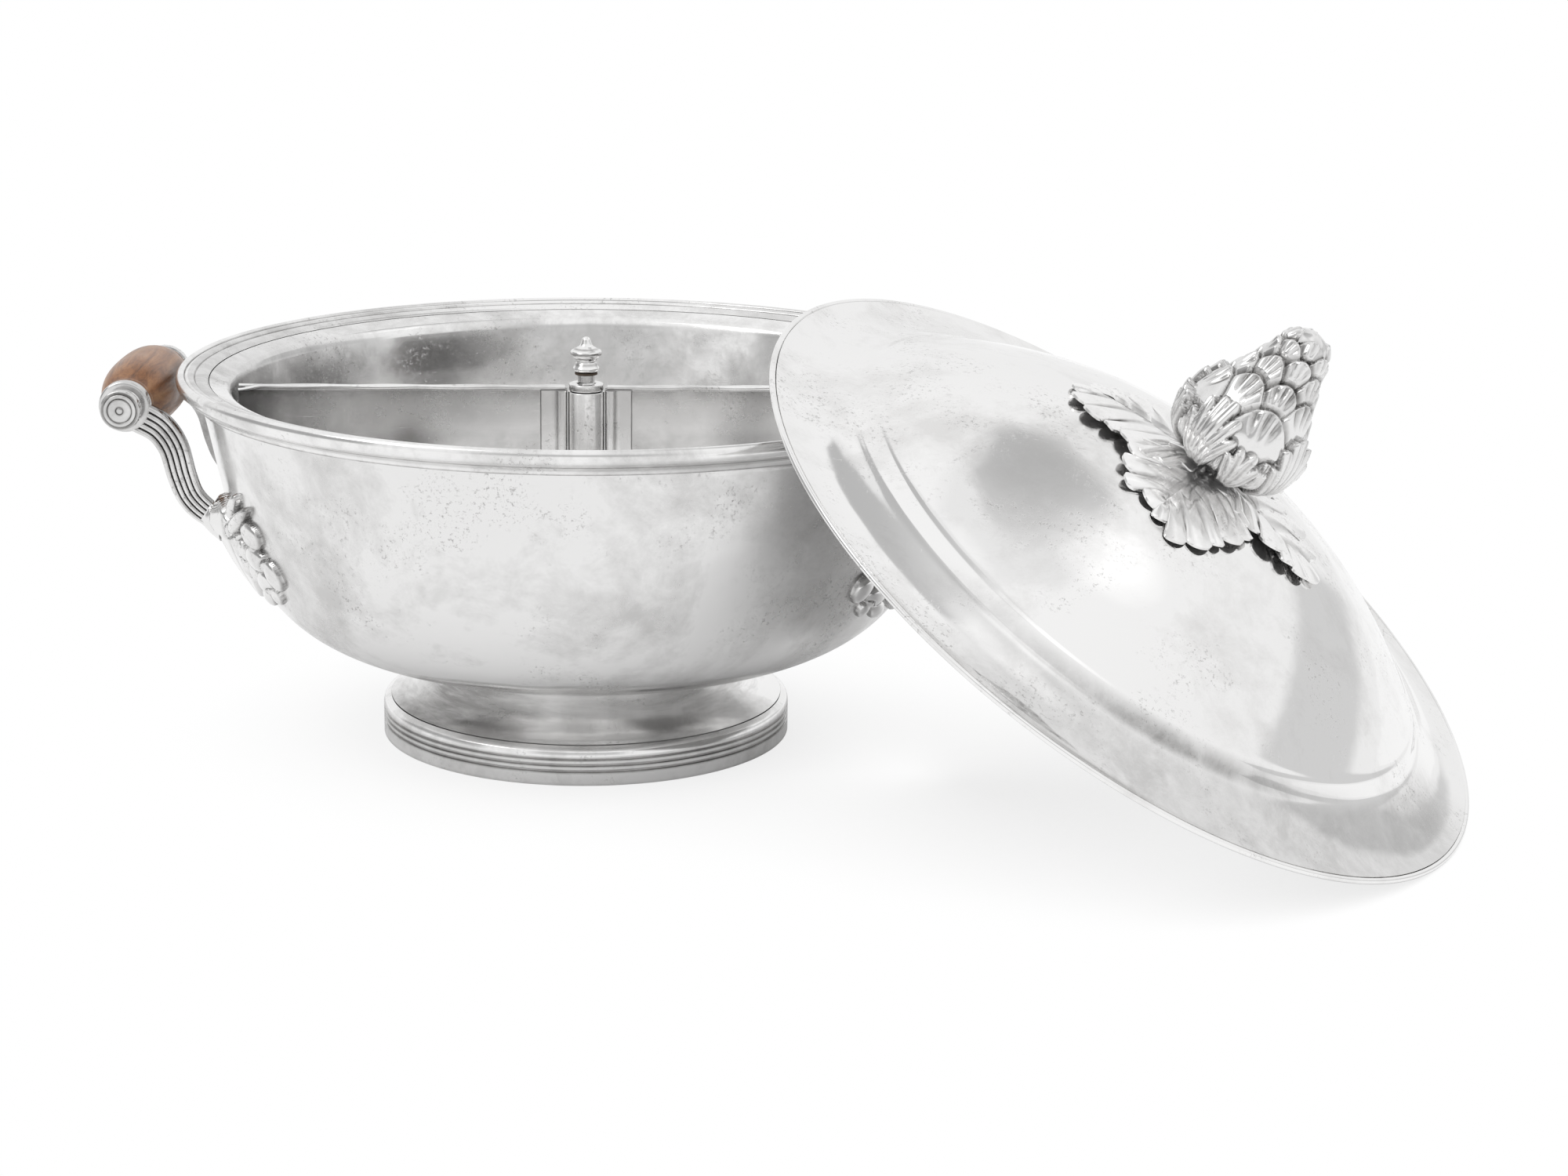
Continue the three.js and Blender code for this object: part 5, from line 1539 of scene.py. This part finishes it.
def scale_at(azimuth, height, radius):
    """Lift and painted shade of the cone's skin: the lowest scale whose edge is above the point wins."""
    owner = None
    groove = 0
    near = list(scales_near(azimuth, height, radius))
    for scale in near:
        if scale[4] > 0 and (owner is None or scale[0] < owner[0]):
            owner = scale
        elif scale[4] <= 0:
            groove = max(groove, 1 + scale[4] / SCALE_EDGE)
    if owner is None:
        return BARE_LIFT, BARE_DARK * groove
    top, length, away, edge, inside = owner
    lift = SCALE_LIFT * (1 - SCALE_TAPER * min(1, inside / length))
    lift *= dome(max(0, 1 - inside / SCALE_EDGE))
    lift *= 1 - SCALE_DIP * away * away
    rise = max(0, 1 - (edge - height) / length)
    near_edge = min(1, inside / FLUTE_EDGE)
    dark = 0
    for flute in FLUTES:
        depth = bell(away - flute * lerp(FLUTE_FAN, 1, rise), lerp(*FLUTE_WIDTH, rise))
        depth *= smoothstep(*FLUTE_START, rise)
        depth *= lerp(1, FLUTE_FAINT, smoothstep(*FLUTE_FADE, top))
        lift -= FLUTE_DEPTH * depth * near_edge
        dark = max(dark, depth * FLUTE_DARK * near_edge)
    for other, _, _, _, within in near:
        if other < top and within < 0:
            sunk = max(0, 1 + within / SCALE_SHADE)
            lift -= SCALE_SHADE_DEPTH * sunk
            dark = max(dark, sunk * SCALE_SHADE_DARK)
    return lift, min(1, dark)


def make_pinecone():
    curve = cone_curve()
    vertices = []
    recess = []
    rings = []
    for row, (radius, height) in enumerate(curve):
        out, up = across(curve, row)
        rings.append([])
        if radius < ON_AXIS:
            rings[-1].append(len(vertices))
            vertices.append((0, 0, CONE_FOOT + height + CONE_TIP_LIFT - CONE_SINK))
            recess.append(0)
            continue
        for i in range(CONE_COLUMNS):
            angle = TURN * i / CONE_COLUMNS
            lift, dark = scale_at(360 * i / CONE_COLUMNS, height, radius)
            lift = (lift - CONE_SINK) * smoothstep(*CONE_SINK_EASE, height)
            r = max(CONE_LEAST, radius + out * lift)
            rings[-1].append(len(vertices))
            vertices.append((r * math.cos(angle), r * math.sin(angle), CONE_FOOT + height + up * lift))
            recess.append(dark)
    cone = vertices, [*joined(rings), tuple(rings[0][::-1])]
    cover_piece("finial_cone", cone, "finial_pinecone", cast_silver, sharp=80, recess=recess)


# Calyx: leaves that clasp the cone's foot, drawn as raised fingers.
# Each has the azimuth of its root and of its tip, the height of the tip and its half width.
CALYX_FINGERS = [
    (-105, -128, 17, 2.2), (-105, -123, 23.5, 2.5), (-105, -112, 26.5, 2.3), (-105, -102, 27.5, 2.6),
    (-105, -88, 24, 2.6), (-105, -81, 18, 2.7),
    (-64, -79, 14, 2.2), (-64, -72, 17.5, 2.3), (-64, -60, 18, 2.6), (-64, -51, 14, 2.2),
]
CALYX_TOP = 30
CALYX_UNDER = -0.6
CALYX_SINK = 1.3
CALYX_FOOT = -0.2
CALYX_COLLAR = 5
CALYX_COLLAR_LIFT = 1.2
CALYX_LIFT = (1.5, 3)
CALYX_TIP_LIFT = 0.5
CALYX_VEIN = 0.45
CALYX_VEIN_DEPTH = 0.5
CALYX_LEAST_WIDTH = 0.05
CALYX_BEND = 1.5
CALYX_ROOT = 0.5
CALYX_SWELL = 0.6
CALYX_TIP_START = 0.8
CALYX_EDGE = 0.6
# Painted shade at the fingers' edges and in their veins
CALYX_EDGE_DARK = 0.9
CALYX_VEIN_DARK = 0.45


def make_calyx():
    curve = cone_curve()
    lengths = lengths_along(curve)

    def row_above(level):
        return next(row for row, (_, height) in enumerate(curve) if height > level)

    rows = row_above(CALYX_TOP)
    tips = [(root, tip, lengths[row_above(height)], half) for root, tip, height, half in CALYX_FINGERS]

    def lift_at(row, column):
        k = round(row * rows)
        radius, _ = curve[k]
        s = lengths[k]
        best = CALYX_UNDER - 1
        dark = 0
        for root, tip, end, half in tips:
            share = min(1, s / end)
            away = math.radians(apart(360 * column, lerp(root, tip, share**CALYX_BEND))) * radius
            wide = half * lerp(CALYX_ROOT, 1, smoothstep(0, CALYX_SWELL, share))
            if s > end - half:
                wide *= dome((s - end + half) / half)
            if wide < CALYX_LEAST_WIDTH or abs(away) >= wide:
                continue
            top = lerp(*CALYX_LIFT, share) + CALYX_TIP_LIFT * smoothstep(CALYX_TIP_START, 1, share)
            vein = bell(away, CALYX_VEIN)
            lift = top * dome(away / wide) - CALYX_VEIN_DEPTH * vein
            if lift > best:
                best = lift
                edge = smoothstep(CALYX_EDGE, 1, abs(away) / wide)
                dark = max(CALYX_EDGE_DARK * edge, CALYX_VEIN_DARK * vein)
        if s < CALYX_COLLAR:
            best = max(best, CALYX_COLLAR_LIFT)
        return best, dark

    def on_cone(row, column, lift):
        k = round(row * rows)
        out, up = across(curve, k)
        radius, height = curve[k]
        angle = TURN * column
        lift -= CALYX_SINK * smoothstep(*CONE_SINK_EASE, height)
        reach = radius + out * lift
        z = CONE_FOOT + max(CALYX_FOOT, height + up * lift)
        return reach * math.cos(angle), reach * math.sin(angle), z

    calyx, recess = relief(rows, CONE_COLUMNS, lift_at, on_cone, CALYX_UNDER, wrap=True)
    cover_piece("finial_calyx_leaves", calyx, "finial_calyx", cast_silver, sharp=70, recess=recess)


make_bowl()
make_rim()
make_liner()
make_foot()
make_tube()
make_plug()
make_divider()
make_handles()
make_cover()
make_finial_leaves()
make_pinecone()
make_calyx()

# Nodes that keep their own shape: rods, stud, washer and nut, in the same metal as their neighbours
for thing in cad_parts.values():
    thing.data.materials.clear()
    thing.data.materials.append(trim_silver)

# Camera, at the photograph's place: its turn round the dish, distance and height, and the way it points
VIEW_TURN = math.radians(5)
CAMERA_BACK = 1.22183
CAMERA_HEIGHT = 0.372487
CAMERA_YAW = 0.061
CAMERA_PITCH = 0.255
CAMERA_ROLL = 0.014
CAMERA_LENS = 76.73
CAMERA_SENSOR = 36
CAMERA_FAR = 20


def make_camera():
    level = math.cos(CAMERA_PITCH)
    forward = Vector((math.sin(CAMERA_YAW) * level, math.cos(CAMERA_YAW) * level, -math.sin(CAMERA_PITCH)))
    right = forward.cross(Vector((0, 0, 1))).normalized()
    up = right.cross(forward)
    tilted_right = right * math.cos(CAMERA_ROLL) + up * math.sin(CAMERA_ROLL)
    tilted_up = up * math.cos(CAMERA_ROLL) - right * math.sin(CAMERA_ROLL)
    facing = Matrix((tilted_right, tilted_up, -forward)).transposed().to_4x4()
    spot = Matrix.Translation((0, -CAMERA_BACK, CAMERA_HEIGHT))
    lens = bpy.data.cameras.new("camera")
    lens.lens = CAMERA_LENS
    lens.sensor_width = CAMERA_SENSOR
    lens.clip_end = CAMERA_FAR
    camera = bpy.data.objects.new("camera", lens)
    bpy.context.scene.collection.objects.link(camera)
    camera.matrix_world = DISH @ Matrix.Rotation(VIEW_TURN, 4, "Z") @ spot @ facing
    bpy.context.scene.camera = camera


# Room: white floor that keeps the shadow, and a bright studio with a few darker places round the object
FLOOR_SIZE = 12
FLOOR_COLOUR = (0.9, 0.9, 0.9, 1)
WHITE = (1, 1, 1, 1)
SHADE_REACH = 0.16
LIGHT_SHADE = (0.05, 0.6, 0.66, 1.0)
DEEP_SHADE = (0.3, 0.9, 0.1, 1.0)
ROOM_LIGHT = 0.93
ROOM_TOP = 1.0
ROOM_RISE = (0.3, 0.95)

# A soft glow: azimuth and elevation, how far it reaches, its core and how much light it adds
GLOW_WAY = (12, 57)
GLOW_REACH = math.radians(11.5)
GLOW_CORE = math.radians(3)
GLOW_LIGHT = 0.2

# Darker places: corners by azimuth and elevation, how soft the edge is and how dark. The ceiling's core
# is darkest towards one way.
CEILING_GAP = [(76, 53), (62, 49), (38, 51), (6, 58), (-16, 63), (-26, 72), (50, 82), (75, 72)]
CEILING_CORE = [(73, 52), (60, 48), (39, 52), (22, 59), (-2, 67), (4, 74), (36, 76), (66, 69)]
CEILING_SOFT = 0.02
CEILING_DARK = 0.11
CORE_SOFT = 0.012
CORE_WAY = (75, 58)
CORE_DARK = (0.84, 0.98, 0.06, 0.34)
RIGHT_GAP = [(56, 4), (-12, 4), (-12, 17), (50, 17)]
LEFT_GAP = [(150, 3), (215, 3), (215, 30), (150, 30)]
FRONT_GAP = [(-115, 6), (-65, 6), (-65, 26), (-115, 26)]
PLAIN_GAPS = [(RIGHT_GAP, 0.02, 0.24), (LEFT_GAP, 0.05, 0.5), (FRONT_GAP, 0.05, 0.35)]

# Lamp: its place, what it points at, its side and its power
LAMP_PLACE = (-1.3, -0.7, 1.5)
LAMP_TARGET = (0, 0, 0.05)
LAMP_SIZE = 1.0
LAMP_POWER = 5


def make_floor():
    n = Nodes(bpy.data.materials.new("floor_white"))
    path = n.add("ShaderNodeLightPath")
    seen = n.larger(path.outputs["Is Camera Ray"], path.outputs["Is Glossy Ray"])
    seen = n.larger(seen, path.outputs["Is Transmission Ray"])
    near = n.add("ShaderNodeAmbientOcclusion", samples=24, Distance=SHADE_REACH).outputs["AO"]
    light_shade = n.span(near, *LIGHT_SHADE)
    deep_shade = n.span(near, *DEEP_SHADE)
    diffuse = n.add("ShaderNodeBsdfDiffuse", Color=FLOOR_COLOUR)
    glow = n.add("ShaderNodeEmission", Color=WHITE, Strength=1.0)
    open_floor = n.larger(deep_shade, n.times(path.outputs["Is Camera Ray"], light_shade))
    share = n.times(seen, open_floor)
    blend = n.add("ShaderNodeMixShader", {0: share, 1: diffuse.outputs[0], 2: glow.outputs[0]})
    n.add("ShaderNodeOutputMaterial", {"Surface": blend.outputs[0]})
    bpy.ops.mesh.primitive_plane_add(size=FLOOR_SIZE, location=(0, 0, 0))
    floor = bpy.context.object
    floor.name = "floor"
    floor.data.materials.append(n.owner)


def make_world():
    n = Nodes(bpy.data.worlds.new("studio"))
    bpy.context.scene.world = n.owner
    way = n.add("ShaderNodeTexCoord").outputs["Generated"]
    height = n.dot(way, Vector((0, 0, 1)))
    level = n.span(height, *ROOM_RISE, ROOM_LIGHT, ROOM_TOP)
    core_dark = n.span(n.dot(way, toward(*CORE_WAY)), *CORE_DARK)
    gaps = [(CEILING_GAP, CEILING_SOFT, CEILING_DARK), (CEILING_CORE, CORE_SOFT, core_dark), *PLAIN_GAPS]
    for corners, soft, depth in gaps:
        level = n.minus(level, n.times(n.inside(way, corners, soft), depth))
    glow = n.span(n.dot(way, toward(*GLOW_WAY)), math.cos(GLOW_REACH), math.cos(GLOW_CORE), 0, GLOW_LIGHT)
    level = n.plus(level, glow)
    room = n.add("ShaderNodeBackground", {"Strength": level}, Color=WHITE)
    white = n.add("ShaderNodeBackground", Color=WHITE)
    path = n.add("ShaderNodeLightPath")
    links = {0: path.outputs["Is Camera Ray"], 1: room.outputs[0], 2: white.outputs[0]}
    blend = n.add("ShaderNodeMixShader", links)
    n.add("ShaderNodeOutputWorld", {0: blend.outputs[0]})


def make_lamp():
    lamp = bpy.data.lights.new("key_left", "AREA")
    lamp.shape = "RECTANGLE"
    lamp.size = LAMP_SIZE
    lamp.size_y = LAMP_SIZE
    lamp.energy = LAMP_POWER
    holder = bpy.data.objects.new("key_left", lamp)
    bpy.context.scene.collection.objects.link(holder)
    holder.location = LAMP_PLACE
    aim = Vector(LAMP_TARGET) - Vector(LAMP_PLACE)
    holder.rotation_euler = aim.to_track_quat("-Z", "Y").to_euler()


make_camera()
make_floor()
make_world()
make_lamp()
bpy.context.scene.view_settings.view_transform = "Standard"
